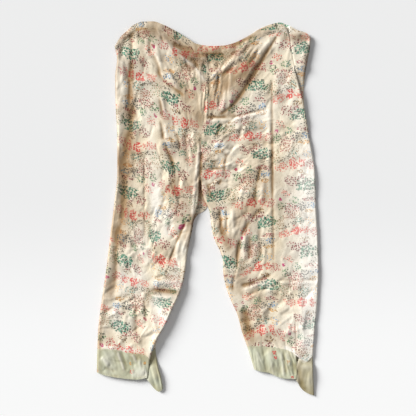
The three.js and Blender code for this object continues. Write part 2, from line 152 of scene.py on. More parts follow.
# ---------------------------------------------------------------- the cut
# Each piece: the leg whose print it takes, its slot, the rectangle of cloth that it is cut from in metres,
# and how far its print is moved.
Cut = namedtuple("Cut", "side slot flat shift")
CUTS = {
    "front_right_leg": Cut("right", "figured_silk", (0.25, 0.75), (0, 0)),
    "front_left_leg": Cut("left", "figured_silk", (0.28, 0.75), (0, 0)),
    "back_right_leg": Cut("right", "figured_silk", (0.25, 0.75), (40, 20)),
    "back_left_leg": Cut("left", "figured_silk", (0.28, 0.75), (0, 0)),
    "waistband_front": Cut("left", "figured_silk", (0.50, 0.05), (64, 56)),
    "waistband_back": Cut("left", "figured_silk", (0.52, 0.05), (30, 60)),
    "cuff_right_front": Cut("right", "plain_satin", (0.16, 0.09), (0, 0)),
    "cuff_left_front": Cut("left", "plain_satin", (0.16, 0.09), (0, 0)),
    "cuff_right_back": Cut("right", "plain_satin", (0.16, 0.09), (0, 0)),
    "cuff_left_back": Cut("left", "plain_satin", (0.16, 0.09), (0, 0)),
}
SHORT_NAMES = {"figured_silk": "silk_", "plain_satin": "satin_"}
LEAST_SHARE = 0.31  # least share of its rectangle that a piece's area is taken as
# Cells of each kind of sheet, across and along.
FINE = (120, 360)
COARSE = (60, 180)
BAND = (240, 10)
CUFF = (70, 40)

# ---------------------------------------------------------------- folds
# Folds run from (x1, y1) to (x2, y2) and bow to the left of that way. A lean over 0 makes the left flank the
# steeper one, and a lean under 0 the right one. A rise under 0 is a hollow.
Fold = namedtuple("Fold", "x1 y1 x2 y2 bow width rise lean")
FOLDS = [
    Fold(*row)
    for row in (
        # left edge of the hip: a raised edge and the long hollow beside it
        (-166, 393, -166, 327, 0, 4.8, -2.5, 0),
        (-166, 338, -170, 212, -2, 5.7, -5, 0),
        (-166, 235, -172, 150, 3, 10, -3.4, 0.3),
        (-170, 175, -181, 60, -3, 11, -3.8, 0.3),
        (-182, 90, -190, -44, 3, 10, -3.8, 0.3),
        (-189, -20, -203, -128, -3, 10, -3.6, 0.3),
        (-199, -100, -208, -205, 0, 9.7, -3.4, 0.3),
        (-186, 338, -191, 212, 0, 8, 1.6, 0),
        (-191, 228, -197, 96, 0, 6, 1.4, 0),
        (-197, 107, -215, -69, 0, 6, 1.4, 0),
        # folds from the right peak
        (-127, 371, -127, 336, 0, 3.5, -2, 0),
        (-118, 349, -98, 305, 0, 5.3, 3.5, 0),
        (-122, 345, -104, 292, 3, 4.5, -3, 0.3),
        (-113, 306, -80, 262, 0, 3.6, -3.4, 0.2),
        (-90, 276, -46, 244, 0, 3.6, -2.6, 0.2),
        (-106, 245, -97, 196, 0, 3.2, -3.5, 0),
        (-101, 250, -92, 200, 0, 4.5, 3, 0),
        (-98, 322, -61, 256, 0, 5.5, 3, 0),
        (-83, 362, -30, 344, 0, 4.5, -6, 0),
        (-66, 340, -27, 310, 0, 3.4, 6, 0.3),
        (-31, 314, -2, 276, 0, 3.2, 7, 0.3),
        (89, 344, 26, 301, 0, 6.6, 2.6, 0),
        (31, 311, 5, 283, 0, 4, 4, 0),
        (18, 288, 60, 309, 0, 3.2, -5, 0),
        # recess under the casing
        (-34, 337, 40, 336, 0, 3.2, -9, 0),
        (47, 351, 108, 382, 0, 4.4, -3, 0),
        # left peak
        (111, 349, 80, 305, 0, 4, -4, 0),
        (128, 404, 22, 248, 0, 26, 3, 0),
        (150, 388, 42, 226, 0, 14, 2.6, 0.45),
        (158, 388, 104, 298, 0, 2.6, -9, 0.2),
        (114, 314, 56, 226, 2, 3, -9, 0.2),
        (70, 244, 22, 204, 4, 2.8, -7, 0.2),
        (64, 262, 20, 212, 4, 11, 2, 0),
        (137, 369, 108, 336, 0, 4.4, 4, 0),
        # lower edge of the swag
        (-6, 200, 46, 200, 0, 3.4, -5.5, -0.3),
        (44, 198, 131, 219, 0, 3, -4, 0),
        (-10, 191, 52, 193, 0, 4, 3, 0),
        (48, 192, 131, 212, 0, 4, 3, 0),
        # pressed creases
        (141, 290, 141, 192, 0, 2.6, -4, 0),
        (141, 226, 142, 0, 0, 2.8, -8, 0),
        (142, 40, 145, -130, 0, 2.6, -4, 0),
        (134, 230, 134, 19, 0, 5, 1.5, 0),
        (-140, 129, -138, -96, 0, 2.4, -2.4, 0),
        # middle of the right leg
        (-105, 199, -96, 146, 0, 3.5, -4, 0),
        (-98, 151, -70, 82, 0, 4, -4, 0),
        (-92, 190, -90, 146, 0, 4, 3.5, 0),
        (-68, 173, -59, 122, 0, 4, -3, 0),
        (-50, 177, -43, 85, 0, 5.7, -2.5, 0),
        (-79, 129, -70, 19, 0, 6.6, -2, 0),
        # crotch
        (-19, 146, -25, 63, 0, 3.1, 6, 0),
        (-25, 74, -35, -30, 0, 3.5, 5, 0),
        (-45, -22, -73, -86, 0, 3.2, -5, 0.2),
        (-70, -80, -84, -112, 0, 2.8, -4, 0),
        (-40, -50, -58, -100, 0, 3, 3, 0),
        (-13, 129, -17, 67, 0, 2.9, -9, 0),
        (-17, 76, -16, 12, 0, 4, -9, 0),
        (31, 190, 18, 155, 0, 2.9, -4, 0),
        (41, 129, 34, 63, 0, 3.1, -4.5, 0),
        (31, 67, 23, 50, 0, 3.5, -4, 0),
        (4, 87, 34, 88, 0, 2.4, -4, 0),
        (4, 105, 25, 105, -1.5, 2, -3.5, 0),
        (14, 80, 42, 80, 0, 3.5, 3.5, 0),
        (-2, 58, 9, 19, 0, 4, -3, 0),
        # left thigh
        (117, 98, 107, 50, 0, 4, -4, 0),
        (107, 56, 102, 12, 0, 4, -3.2, 0),
        (124, 67, 115, 8, 0, 5.4, 3, 0),
        (122, 3, 94, -24, 0, 4, -3, 0),
        (94, -23, 72, -65, 0, 4.4, -3.2, 0),
        (72, -63, 64, -118, 0, 4.2, -4, 0),
        (25, 10, 32, -65, 0, 4.2, -4.5, 0),
        (40, 6, 42, -56, 0, 2.6, -3, 0),
        (53, 6, 58, -61, 0, 4.4, 3, 0),
        (93, -52, 92, -118, 0, 5, -2.6, 0),
        (78, -61, 80, -118, 0, 5, 2.2, 0),
        (67, -69, 65, -140, 0, 3.5, -3.5, 0),
        (111, -36, 119, -118, 0, 5.3, -2, 0),
        # left knee
        (59, -142, 53, -186, 0, 3.5, -3.5, 0),
        (71, -170, 111, -160, 0, 4.4, -6, 0.2),
        (106, -160, 141, -143, 0, 3.7, -5, 0.2),
        (71, -182, 133, -161, 0, 4.8, 5, 0),
        (144, -157, 247, -157, 0, 2.2, -2.2, 0),
        (144, -164, 247, -164, 0, 4.4, 1.8, 0),
        # left calf
        (82, -215, 92, -282, 0, 11, -3.4, 0),
        (119, -201, 128, -289, 0, 6.6, 2, 0),
        (192, -223, 195, -324, 0, 2.2, -2.6, 0),
        (203, -179, 212, -311, 0, 8.8, 2.5, 0),
        # right knee and calf
        (-87, -129, -94, -146, 0, 2.2, -3.5, 0),
        (-94, -146, -117, -151, 0, 2.2, -3.5, 0),
        (-73, -87, -85, -120, 0, 2.4, -4, 0),
        (-61, -65, -70, -118, 0, 5.3, 4, 0),
        (-127, -166, -52, -160, 0, 6.6, 5, 0),
        (-125, -178, -57, -183, 0, 4.4, -4.5, 0.2),
        (-127, -195, -70, -195, 0, 6.6, 4, 0),
        (-140, -195, -135, -256, 0, 3.1, -3.5, 0),
        (-127, -212, -109, -278, 0, 6.6, 3, 0),
        (-158, -197, -156, -285, 0, 6.6, -3, 0),
        (-229, -228, -204, -215, 0, 3.1, -4, 0),
        (-224, -241, -197, -226, 0, 3.5, 3.5, 0),
        (-215, -201, -171, -193, 0, 4.4, -2, 0),
        # broad forms
        (105, 350, 20, 225, 0, 26, 3.5, 0),
        (205, 330, 208, 200, 0, 26, 2, 0.3),
        (182, 130, 178, -270, 0, 30, -3, 0),
        # gathers of the cuffs
        (-199, -308, -181, -362, 0, 3, 5, 0.3),
        (-191, -308, -176, -352, 0, 3, -2.6, 0),
        (-205, -318, -196, -365, 0, 4, -1.6, 0),
        (-172, -322, -172, -374, 0, 5, -1.2, 0),
        (-166, -344, -136, -362, 0, 7, 2, 0),
        (-166, -356, -140, -374, 0, 5, -1.2, 0),
        (-150, -326, -127, -366, -7, 4, 2.4, 0),
        (-146, -332, -128, -368, -6, 2.6, -2.2, 0),
        (-167, -318, -155, -340, 0, 3, 3.5, 0),
        (-235, -325, -214, -345, 0, 6, 3, 0),
        (-228, -348, -200, -360, 0, 4, -2.5, 0),
        (-138, -345, -129, -392, 0, 2.6, 2, 0),
        (105, -304, 118, -366, 0, 4, 1.2, 0),
        (120, -304, 130, -366, 0, 3.4, -1.4, 0),
        (133, -304, 146, -372, 0, 3.4, 1.5, 0),
        (147, -302, 160, -372, 0, 3, -1.6, 0),
        (160, -308, 168, -376, 0, 2.8, 2.6, 0),
        (166, -308, 174, -372, 0, 2.6, -2.2, 0),
        (172, -312, 182, -350, 0, 3, 2.2, 0),
        (186, -322, 190, -376, 0, 3, -1.5, 0),
        (150, -320, 158, -360, 0, 2.2, 1.8, 0),
        (108, -312, 120, -340, 0, 2.2, 2, 0),
    )
]
# Edges of the front that stand up, away from the light, between two heights.
Rim = namedtuple("Rim", "leg bottom top width rise")
RIMS = [
    Rim("right", -350, -140, 20, 6.0),
    Rim("right", -200, -20, 12, 1.5),
    Rim("left", -420, 210, 110, -2.2),
]
# Folds of the back, where it shows beyond the front.
BACK_FOLDS = [
    Fold(*row)
    for row in (
        (-125, -338, -106, -408, 0, 4.5, 1.6, 0),
        (-117, -325, -102, -402, 0, 2.4, -4, 0),
        (-128, -340, -112, -404, 0, 2.4, -3.5, 0),
        (-108, -320, -99, -390, 0, 3, 1.5, 0),
        (196, -333, 207, -341, 0, 5, 7, 0),
        (196, -345, 209, -400, 0, 6, -3, 0),
        (210, -345, 204, -385, 0, 3, 0.8, 0),
        (219, -340, 226, -412, 0, 4, 1, 0),
        (222, -350, 214, -395, 0, 2.4, -1, 0),
        (186, 352, 206, 366, 0, 3.5, -3, 0),
        (200, 382, 224, 368, 0, 4, -3.5, 0),
        (208, 360, 216, 300, 0, 4, 2, 0),
        (196, 330, 205, 282, 0, 3, -2.5, 0),
    )
]
# Small creases scattered round (x, y) within (across, along), at about one heading in degrees.
Crumple = namedtuple("Crumple", "x y across along heading spread count length width rise")
CRUMPLES = [
    Crumple(*row)
    for row in (
        (-100, 330, 70, 60, -60, 25, 44, 34, 2.8, 1.5),
        (78, 325, 60, 34, 54, 8, 30, 74, 2.6, 1.3),
        (20, 255, 34, 50, 86, 9, 24, 58, 2.4, 1.3),
        (-40, 250, 30, 50, 95, 20, 10, 40, 2.6, 1.2),
        (30, 255, 22, 26, 84, 6, 16, 52, 2.0, 1.6),
        (-20, 322, 34, 16, 120, 30, 16, 26, 2.4, 1.3),
        (-170, 220, 26, 150, 92, 16, 18, 60, 4.0, 1.3),
        (160, 300, 30, 80, 70, 25, 16, 46, 4.0, 1.2),
        (30, 90, 60, 60, 20, 50, 64, 26, 2.6, 1.6),
        (85, 140, 60, 60, 25, 40, 54, 30, 2.8, 1.5),
        (-60, 100, 50, 90, 100, 30, 34, 40, 3.6, 1.5),
        (75, -50, 55, 90, 72, 25, 34, 44, 3.6, 1.6),
        (-80, -60, 50, 70, 50, 40, 26, 36, 3.4, 1.5),
        (190, 30, 40, 240, 90, 70, 44, 40, 4.0, 1.1),
        (-170, -60, 40, 165, 85, 60, 34, 40, 4.0, 1.1),
        (150, -220, 85, 65, 10, 45, 46, 36, 3.6, 1.5),
        (-165, -240, 60, 65, 15, 50, 40, 36, 3.6, 1.6),
        (145, -335, 44, 30, -76, 7, 22, 56, 2.2, 0.8),
        (-180, -340, 55, 28, -70, 40, 22, 30, 2.6, 0.8),
    )
]
# Patches along (x1, y1) to (x2, y2), made browner, or paler where the amount is under 0: mostly painted
# shade and painted light on the folds, partly the silk's own age browning.
ShadeLightAndAgeing = namedtuple("ShadeLightAndAgeing", "x1 y1 x2 y2 width amount")
SHADE_LIGHT_AND_AGEING = [
    ShadeLightAndAgeing(*row)
    for row in (
        (62, 318, 30, 270, 44, 0.55),
        (40, 330, 90, 300, 24, 0.45),
        (132, 346, 74, 252, 13, 0.6),
        (66, 330, 40, 275, 18, 0.45),
        (30, 300, 10, 230, 30, 0.25),
        (76, 268, 50, 212, 13, 0.6),
        (84, 330, 26, 290, 20, 0.4),
        (-31, -20, -46, -80, 8, 0.75),
        (0, 42, 10, -8, 13, 0.4),
        (18, -14, 44, -84, 9, 0.7),
        (-82, 44, -76, 24, 15, 0.35),
        (122, -70, 140, -140, 18, 0.3),
        (-160, 292, -152, 272, 10, 0.35),
        (-192, 245, -194, 215, 7, 0.5),
        (-197, 72, -198, 55, 7, 0.5),
        (-142, 150, -146, 125, 11, 0.45),
        (-52, 212, -40, 175, 11, 0.4),
        (28, 142, 32, 98, 12, -0.35),
        (112, 162, 114, 128, 10, -0.45),
        (-44, 132, -40, 100, 9, -0.35),
        (-84, -8, -88, -52, 11, -0.45),
        (132, -162, 134, -190, 8, -0.3),
        (108, -188, 116, -238, 16, 0.45),
        (224, -205, 224, -300, 12, -0.4),
        (196, -186, 200, -240, 12, 0.3),
        (-186, -150, -184, -182, 12, -0.4),
        (-205, -215, -195, -285, 12, -0.4),
        (-232, -212, -226, -245, 8, 0.45),
        (-116, 42, -114, 2, 12, -0.5),
        (52, -135, 56, -166, 7, -0.45),
        (84, 44, 76, 16, 10, -0.4),
        (124, 54, 128, 18, 9, 0.4),
        (208, 72, 212, 52, 9, -0.4),
        (160, 290, 166, 262, 14, -0.3),
        (196, 215, 202, 180, 12, -0.4),
        (-160, 395, -90, 380, 22, 0.35),
        (-50, 310, -10, 240, 30, 0.3),
        (-50, 330, 30, 325, 20, 0.4),
        (-20, 336, 50, 334, 15, 0.5),
        (-130, 405, -26, 349, 17, 0.8),
        (-110, 290, -98, 262, 10, 0.4),
        (-60, 262, -22, 210, 18, 0.4),
        (-105, 160, -92, 130, 14, 0.35),
        (-146, 330, -140, 300, 10, 0.4),
        (-176, 300, -170, 262, 8, 0.4),
        (-198, 330, -199, 250, 9, 0.35),
        (-148, 350, -144, 322, 9, 0.3),
        (-94, 330, -88, 300, 11, 0.3),
        (-84, 196, -72, 160, 12, 0.3),
        (-158, 90, -152, 120, 10, 0.35),
        (-26, 349, 45, 346, 12, 0.5),
        (45, 350, 140, 396, 15, 0.8),
        (-190, 380, -127, 406, 20, 0.7),
        (-98, 306, -48, 246, 18, 0.35),
        (-100, 238, -92, 200, 12, 0.4),
        (-28, 250, -28, 212, 9, 0.4),
        (30, 212, 54, 206, 8, 0.5),
        (-166, 330, -166, 240, 8, 0.5),
        (-167, 240, -177, 90, 18, 0.8),
        (-183, 90, -192, -60, 17, 0.75),
        (-192, -60, -208, -160, 13, 0.4),
        (-196, 130, -213, -60, 6, 0.7),
        (-232, -195, -240, -312, 8, 0.9),
        (-219, -172, -217, -205, 9, 0.6),
        (-56, -85, -70, -145, 8, -0.35),
        (-34, -20, -46, -62, 8, 0.6),
        (-58, -56, -66, -100, 8, 0.4),
        (-60, 330, -20, 318, 18, 0.5),
        (-50, 200, 40, 180, 22, 0.3),
        (-10, 190, -20, 60, 16, 0.35),
        (150, 120, 148, -120, 14, 0.2),
        (232, 120, 236, -300, 30, -0.7),
        (205, 130, 212, -290, 40, -0.3),
        (-130, 200, -105, -60, 18, -0.3),
        (-150, -150, -170, -300, 16, -0.3),
        (-85, -240, -122, -315, 15, -0.25),
        (-115, -205, -100, -240, 14, -0.6),
        (172, -306, 186, -314, 4.5, -0.9),
        (188, -318, 212, -335, 4.5, -1.0),
        (212, -335, 230, -322, 4, -0.9),
        (-230, -304, -150, -314, 4, -0.5),
        (168, 386, 172, 372, 7, -0.3),
        (-160, -362, -140, -366, 8, -1.0),
        (-200, -312, -184, -352, 6, 0.7),
        (-165, -322, -140, -328, 10, 0.6),
        (-206, -330, -204, -366, 8, 0.3),
        (197, -345, 208, -395, 9, 0.9),
        (-212, -278, -150, -292, 18, 0.3),
        (92, -278, 168, -286, 15, 0.35),
        (-215, 388, -150, 398, 10, -0.5),
        (-150, 398, -92, 384, 9, -0.35),
        (-214, -326, -208, -352, 14, -0.6),
        (-240, -322, -238, -352, 7, 0.7),
        (-150, -338, -134, -346, 5, -0.3),
        (60, 190, 128, 208, 10, -0.4),
        (100, 250, 130, 180, 20, -0.2),
        (82, -3, 67, -168, 36, 0.42),
        (80, -228, 92, -292, 14, 0.7),
        (97, 173, 110, 19, 30, 0.35),
        (30, 150, 20, 60, 26, 0.4),
        (-62, 129, -50, -14, 30, 0.4),
        (-155, 60, -163, -10, 20, 0.3),
        (-150, -45, -135, -110, 14, -0.35),
        (-156, -215, -158, -289, 13, 0.3),
        (-118, -180, -60, -186, 9, 0.55),
        (170, 375, 221, 377, 9, 0.8),
        (220, 350, 210, 290, 8, 0.8),
    )
]

# Folded edges get painted shade too.
SIDE_SHADE = 0.6
INSEAM_SHADE = 0.5
INSEAM_TOP = 40
SHADED_EDGE = 4  # width of the painted shade along the edge
# What lies deeper than the cloth around it, by up to this much, gets painted shade as well, and what lies
# higher a painted highlight.
DEEP = 1.5
FULL_DEPTH = 5  # depth that would count as fully shaded
EVEN_PASSES = 40  # how often the cloth around is evened out

# ---------------------------------------------------------------- the print
# A half-drop repeat. For each leg: the middle of one motif, and the steps in plan to the same motif in the
# next column and in the next row down.
PRINT_WIDTH = 95
PRINT_HEIGHT = 150
Lattice = namedtuple("Lattice", "origin across down bow way")
LATTICES = {
    "left": Lattice((10, 332), (98, -66), (9, -149), 0, 1),
    "right": Lattice((-173, 340), (86, -92), (-5, -150), 9, -1),
}

BOW_MIDDLE = 40  # height at which the right leg's columns bow out most
BOW_REACH = 300
DRIFT = 2.2  # how far the print wanders everywhere

# Where the drape has dragged the print: by (dx, dy) at (x, y), fading over a reach.
Drag = namedtuple("Drag", "x y dx dy reach")
DRAGS = [
    Drag(*row)
    for row in (
        # right leg, down from the hip
        (-171, 346, 2, 9, 30),
        (-59, 343, 11, -9, 40),
        (-52, 189, 7, -9, 42),
        (-165, 183, 8, -5, 30),
        (-155, 134, -6, -11, 30),
        (-72, 38, -9, -9, 36),
        (-163, -14, -13, -2, 28),
        (-86, -60, -33, -3, 54),
        (-84, -114, -35, -18, 48),
        (-193, -257, -2, 10, 45),
        # left leg, down from the hip
        (211, 353, 13, -2, 40),
        (181, 254, 4, 9, 35),
        (9, 170, -7, -19, 32),
        (186, 101, 0, 6, 30),
        (16, 24, -11, -15, 32),
        (128, -31, 8, -4, 32),
        (192, -47, 0, 8, 35),
        (49, -122, 5, -13, 30),
        (117, -127, 0, 13, 40),
        (139, -168, 0, 8, 45),
        (222, -256, -2, -13, 32),
        (126, -265, 5, 21, 50),
    )
]


def ink(red, green, blue):
    """A colour given in 8-bit sRGB, as the linear RGBA that shaders take."""
    return tuple(((c / 255 + 0.055) / 1.055) ** 2.4 for c in (red, green, blue)) + (1.0,)


TEAL = ink(42, 136, 110)
PINE = ink(18, 44, 34)
RED = ink(216, 46, 44)
SALMON = ink(226, 104, 88)
PINK = ink(222, 122, 112)
ROSE = ink(170, 60, 72)
BURGUNDY = ink(116, 26, 38)
BROWN = ink(82, 58, 40)
SLATE = ink(72, 76, 84)
BLUE = ink(104, 156, 198)
OCHRE = ink(226, 168, 88)
GREEN = ink(96, 144, 96)
MIST = ink(88, 140, 128)
TAN = ink(160, 122, 74)
MAGENTA = ink(204, 44, 124)

# Sprays of flecks, at (x, y) from the middle of the repeat, with y down the leg.
Spray = namedtuple("Spray", "x y width height turn ring ink accent cover")
SPRAYS = [
    Spray(*row)
    for row in (
        (-22, -69, 16, 15, 0, 0.0, MIST, TAN, 1.0),
        (6, -67, 12, 12, 0, 0.0, OCHRE, BLUE, 0.8),
        (-53, -57, 16, 8, 0, 0.0, BROWN, PINE, 0.9),
        (-32, -61, 10, 7, 0, 0.0, BROWN, PINE, 0.9),
        (-52, -43, 17, 10, 0, 0.0, SALMON, PINK, 0.95),
        (-26, -46, 13, 13, 0, 0.0, RED, SALMON, 1.25),
        (-4, -46, 10, 11, 0, 0.0, SALMON, RED, 1.1),
        (15, -42, 13, 12, 0, 0.0, ROSE, PINK, 0.9),
        (-32, -14, 19, 11, -22, 0.0, BURGUNDY, ROSE, 0.95),
        (-9, -27, 12, 7, 0, 0.0, TAN, BROWN, 1.0),
        (-10, -18, 10, 7, 0, 0.0, ROSE, BURGUNDY, 1.0),
        (0, 0, 25, 19, 0, 0.45, TEAL, PINE, 1.2),
        (8, 15, 12, 7, 0, 0.0, PINE, BROWN, 0.8),
        (3, 29, 16, 8, -10, 0.5, ROSE, BROWN, 1.0),
        (-14, 45, 16, 14, 0, 0.0, SLATE, PINE, 0.95),
        (8, 42, 13, 9, 0, 0.0, BLUE, SLATE, 1.0),
        (4, 56, 14, 6, 0, 0.0, OCHRE, TAN, 1.1),
        (-47, 13, 15, 10, -25, 0.0, SALMON, BROWN, 0.85),
        (-58, 26, 5, 5, 0, 0.0, MAGENTA, ROSE, 1.4),
        (-28, 30, 11, 11, 0, 0.0, GREEN, MIST, 1.0),
        (-55, 42, 13, 11, 0, 0.0, GREEN, PINE, 1.0),
        (-36, 53, 21, 18, 0, 0.0, ROSE, BROWN, 0.9),
        (-38, 70, 18, 10, 0, 0.0, ROSE, TAN, 0.9),
        (30, 5, 16, 20, 0, 0.0, TAN, GREEN, 0.75),
        (-30, -85, 30, 12, 0, 0.0, TAN, BROWN, 0.65),
    )
]


# Loose flecks of the satin cuffs, at (x, y) on the garment.
Sprig = namedtuple("Sprig", "side x y width height ink accent cover")
SPRIGS = [
    Sprig(*row)
    for row in (
        ("right", -166, -358, 6, 6, RED, OCHRE, 1.3),
        ("right", -168, -341, 5, 4, OCHRE, OCHRE, 1.3),
        ("right", -139, -340, 4, 5, OCHRE, TAN, 1.3),
        ("left", 146, -316, 5, 5, PINK, RED, 1.3),
        ("left", 149, -327, 4, 4, RED, PINK, 1.3),
        ("left", 186, -371, 4, 4, RED, PINK, 1.3),
    )
]


# ---------------------------------------------------------------- lines and heights
def through(rows):
    """A smooth line through a table, flat beyond its ends and with no overshoot."""
    at, value = np.array(sorted(rows.items()), float).T
    slopes = np.diff(value) / np.diff(at)
    before = np.append(slopes[0], slopes)
    after = np.append(slopes, slopes[-1])
    same_way = before * after > 0
    tangents = np.where(same_way, 2 * before * after / np.where(same_way, before + after, 1), 0)

    def line(t):
        t = np.clip(t, at[0], at[-1])
        i = np.clip(np.searchsorted(at, t, side="right") - 1, 0, len(at) - 2)
        step = at[i + 1] - at[i]
        s = (t - at[i]) / step
        start = value[i] * (1 + 2 * s) * (1 - s) ** 2 + tangents[i] * step * s * (1 - s) ** 2
        end = value[i + 1] * s * s * (3 - 2 * s) + tangents[i + 1] * step * s * s * (s - 1)
        return start + end

    return line


def left_cuff_edge(y):
    """The free edge of the left cuff's front, at each height."""
    return np.full_like(y, LEFT_CUFF_EDGE)


def lowered(line, distance, probe=6, steepest=1.5):
    """A line moved down by a distance measured square to it."""

    def lower(x):
        slope = (line(x + probe) - line(x - probe)) / (2 * probe)
        return line(x) - distance * np.hypot(1, np.clip(abs(slope), 0, steepest))

    return lower


def moved(line, distance):
    """A line moved up by a distance."""
    return lambda t: line(t) + distance


right_side = through(RIGHT_SIDE)
left_side = through(LEFT_SIDE)
left_front_side = through({**LEFT_FRONT_HIP, **{y: x for y, x in LEFT_SIDE.items() if y < 200}})
right_inner = through({**CENTRE_SEAM, **RIGHT_INSEAM})
left_inner = through({**CENTRE_SEAM, **LEFT_INSEAM})
right_back_inner = through({**CENTRE_SEAM, **RIGHT_BACK_INNER})
front_waist = through(FRONT_WAIST)
back_waist = through({**{x: y for x, y in FRONT_WAIST.items() if x < 60}, **LEFT_BACK_WAIST})
right_cuff_seam = through(RIGHT_CUFF_SEAM)
left_cuff_seam = through(LEFT_CUFF_SEAM)
back_cuff_seam = through(BACK_CUFF_SEAM)


def smooth(t):
    """0 up to t = 0 and 1 from t = 1 on, with an even curve between."""
    t = np.clip(t, 0, 1)
    return t * t * (3 - 2 * t)


def fold_at(fold, x, y):
    """How much of one fold is felt at each point, from 0 to 1 on its line."""
    dx, dy = fold.x2 - fold.x1, fold.y2 - fold.y1
    length = math.hypot(dx, dy)
    along = ((x - fold.x1) * dx + (y - fold.y1) * dy) / length**2
    t = np.clip(along, 0, 1)
    beyond = (along - t) * length
    aside = ((y - fold.y1) * dx - (x - fold.x1) * dy) / length - fold.bow * 4 * t * (1 - t)
    flank = fold.width * np.where(aside > 0, 1 - fold.lean, 1 + fold.lean)
    fade = smooth((0.5 - abs(t - 0.5)) / 0.25)
    return fade * np.exp(-np.abs(aside / flank) ** 1.7 - (beyond / fold.width) ** 2)


def scattered():
    """The small creases of CRUMPLES, each a fold of its own."""
    rng = np.random.default_rng(11)
    creases = []
    for zone in CRUMPLES:
        for _ in range(zone.count):
            x = zone.x + zone.across * rng.uniform(-1, 1)
            y = zone.y + zone.along * rng.uniform(-1, 1)
            heading = math.radians(zone.heading + zone.spread * rng.normal(0, 0.7))
            half = zone.length * rng.uniform(0.3, 0.8)
            dx, dy = half * math.cos(heading), half * math.sin(heading)
            width = zone.width * rng.uniform(0.7, 1.5)
            rise = zone.rise * rng.uniform(0.5, 1.3) * rng.choice((-1, 1))
            bow = half * rng.uniform(-0.2, 0.2)
            lean = rng.uniform(-0.5, 0.5)
            creases.append(Fold(x - dx, y - dy, x + dx, y + dy, bow, width, rise, lean))
    return creases


ALL_FOLDS = FOLDS + scattered()


def folds_sum(x, y, folds=ALL_FOLDS):
    """The height that folds add, and how far each point lies in a hollow or on a crest, from 0 to 1."""
    total, hollow, crest = np.zeros((3,) + x.shape)
    for fold in folds:
        reach = 3 * fold.width + abs(fold.bow)
        near = (
            (x > min(fold.x1, fold.x2) - reach)
            & (x < max(fold.x1, fold.x2) + reach)
            & (y > min(fold.y1, fold.y2) - reach)
            & (y < max(fold.y1, fold.y2) + reach)
        )
        felt = fold_at(fold, x[near], y[near])
        rise = min(abs(fold.rise) * FOLD_GAIN, STEEPEST * fold.width)
        total[near] += math.copysign(rise, fold.rise) * felt
        # Hollow marks become painted shade, and crest marks a painted highlight.
        deepest = hollow if fold.rise < 0 else crest
        deepest[near] += abs(fold.rise) / 6 * felt * (fold.width < BROAD)
    return total, np.clip(hollow, 0, 1), np.clip(crest, 0, 1)


def swell(x, y, seed=5, waves=14, longest=190, shortest=45):
    """A soft uneven swell from -1 to 1, the sum of a few waves in random directions."""
    rng = np.random.default_rng(seed)
    total = np.zeros_like(x)
    for _ in range(waves):
        heading, phase = rng.uniform(0, 2 * math.pi, 2)
        length = rng.uniform(shortest, longest)
        way = (x * math.cos(heading) + y * math.sin(heading)) / length
        total += np.sin(2 * math.pi * way + phase)
    return total / math.sqrt(waves)


def creased(x, y, size, seed, heading=90, stretch=1.5):
    """A net of narrow creases from -1 to 1, drawn out along one heading, as silk keeps once crushed."""
    rng = np.random.default_rng(seed)
    along = (math.cos(math.radians(heading)), math.sin(math.radians(heading)))
    u = (x * along[0] + y * along[1]) / stretch
    v = y * along[0] - x * along[1]
    u = u + 0.25 * size * swell(x, y, seed=seed + 1, waves=10, longest=4 * size, shortest=1.5 * size)
    v = v + 0.25 * size * swell(x, y, seed=seed + 2, waves=10, longest=4 * size, shortest=1.5 * size)
    nearest = np.full_like(x, 1e6)
    second = np.full_like(x, 1e6)
    for row in np.arange(-520, 520, size):
        for column in np.arange(-520, 520, size):
            jitter = rng.uniform(-0.45, 0.45, 2) * size
            away = np.hypot(u - row - jitter[0], v - column - jitter[1])
            second = np.minimum(second, np.maximum(nearest, away))
            nearest = np.minimum(nearest, away)
    strength = swell(x, y, seed=seed + 3, waves=12, longest=3 * size, shortest=size)
    return np.clip(strength, -1.3, 1.3) * np.exp(-(second - nearest) / (0.13 * size))


def turn_up(inside):
    """0 at a folded side, rising in a quarter round to 1."""
    return np.sqrt(1 - (1 - np.clip(inside / TURN, 0, 1)) ** 2)


def inside_leg(x, y):
    """Distance from the folded sides of a leg's front. The centre seam isn't a folded side."""
    seamed = smooth((y - FORK_LOW) / (FORK_HIGH - FORK_LOW)) * 2 * TURN
    on_right = x < (right_inner(y) + left_inner(y)) / 2
    right = np.minimum(BRISKER * (x - right_side(y)), SHARPER * (right_inner(y) - x + seamed))
    left = np.minimum(SHARPER * (left_front_side(y) - x), BRISKER * (x - left_inner(y) + seamed))
    return np.where(on_right, right, left)


def flush(x, y):
    """1 where the back comes up beside the front's edge: at the left hip and beyond both cuffs."""
    hip = smooth((y - HIP_FOOT) / 50) * smooth((x - HIP_INNER) / 50)
    left_cuff = smooth((CUFF_TOP - y) / 20) * smooth((x - LEFT_CUFF_INNER) / 30)
    right_cuff = smooth((CUFF_TOP - y) / 20) * smooth((x - RIGHT_CUFF_OUTER) / 20) * (x < 0)
    return np.maximum(hip, np.maximum(left_cuff, right_cuff))


def rims(x, y):
    """The height that the standing edges of RIMS add."""
    lift = np.zeros_like(x)
    for rim in RIMS:
        away = (right_inner(y) if rim.leg == "right" else left_front_side(y)) - x
        shows = smooth((y - rim.bottom) / 60) * smooth((rim.top - y) / 60) * (away > -1)
        lift += rim.rise * shows * np.exp(-(np.abs(away / rim.width) ** 1.5))
    return lift


def front_height(inside):
    """The middle of the front's cloth, for a piece whose folded sides are as far away as inside says."""

    def height(x, y):
        lift = PUFF + folds_sum(x, y)[0] + rims(x, y) + SWELL_RISE * swell(x, y, longest=120, shortest=40)
        for net in CRUSHES:
            lift += net.rise * creased(x, y, net.size, net.seed, net.heading)
        lift = (lift + np.hypot(lift, 1)) / 2
        side = SIDE_Z + FLUSH * flush(x, y)
        return side + (FRONT_Z + lift - side) * turn_up(inside(x, y))

    return height


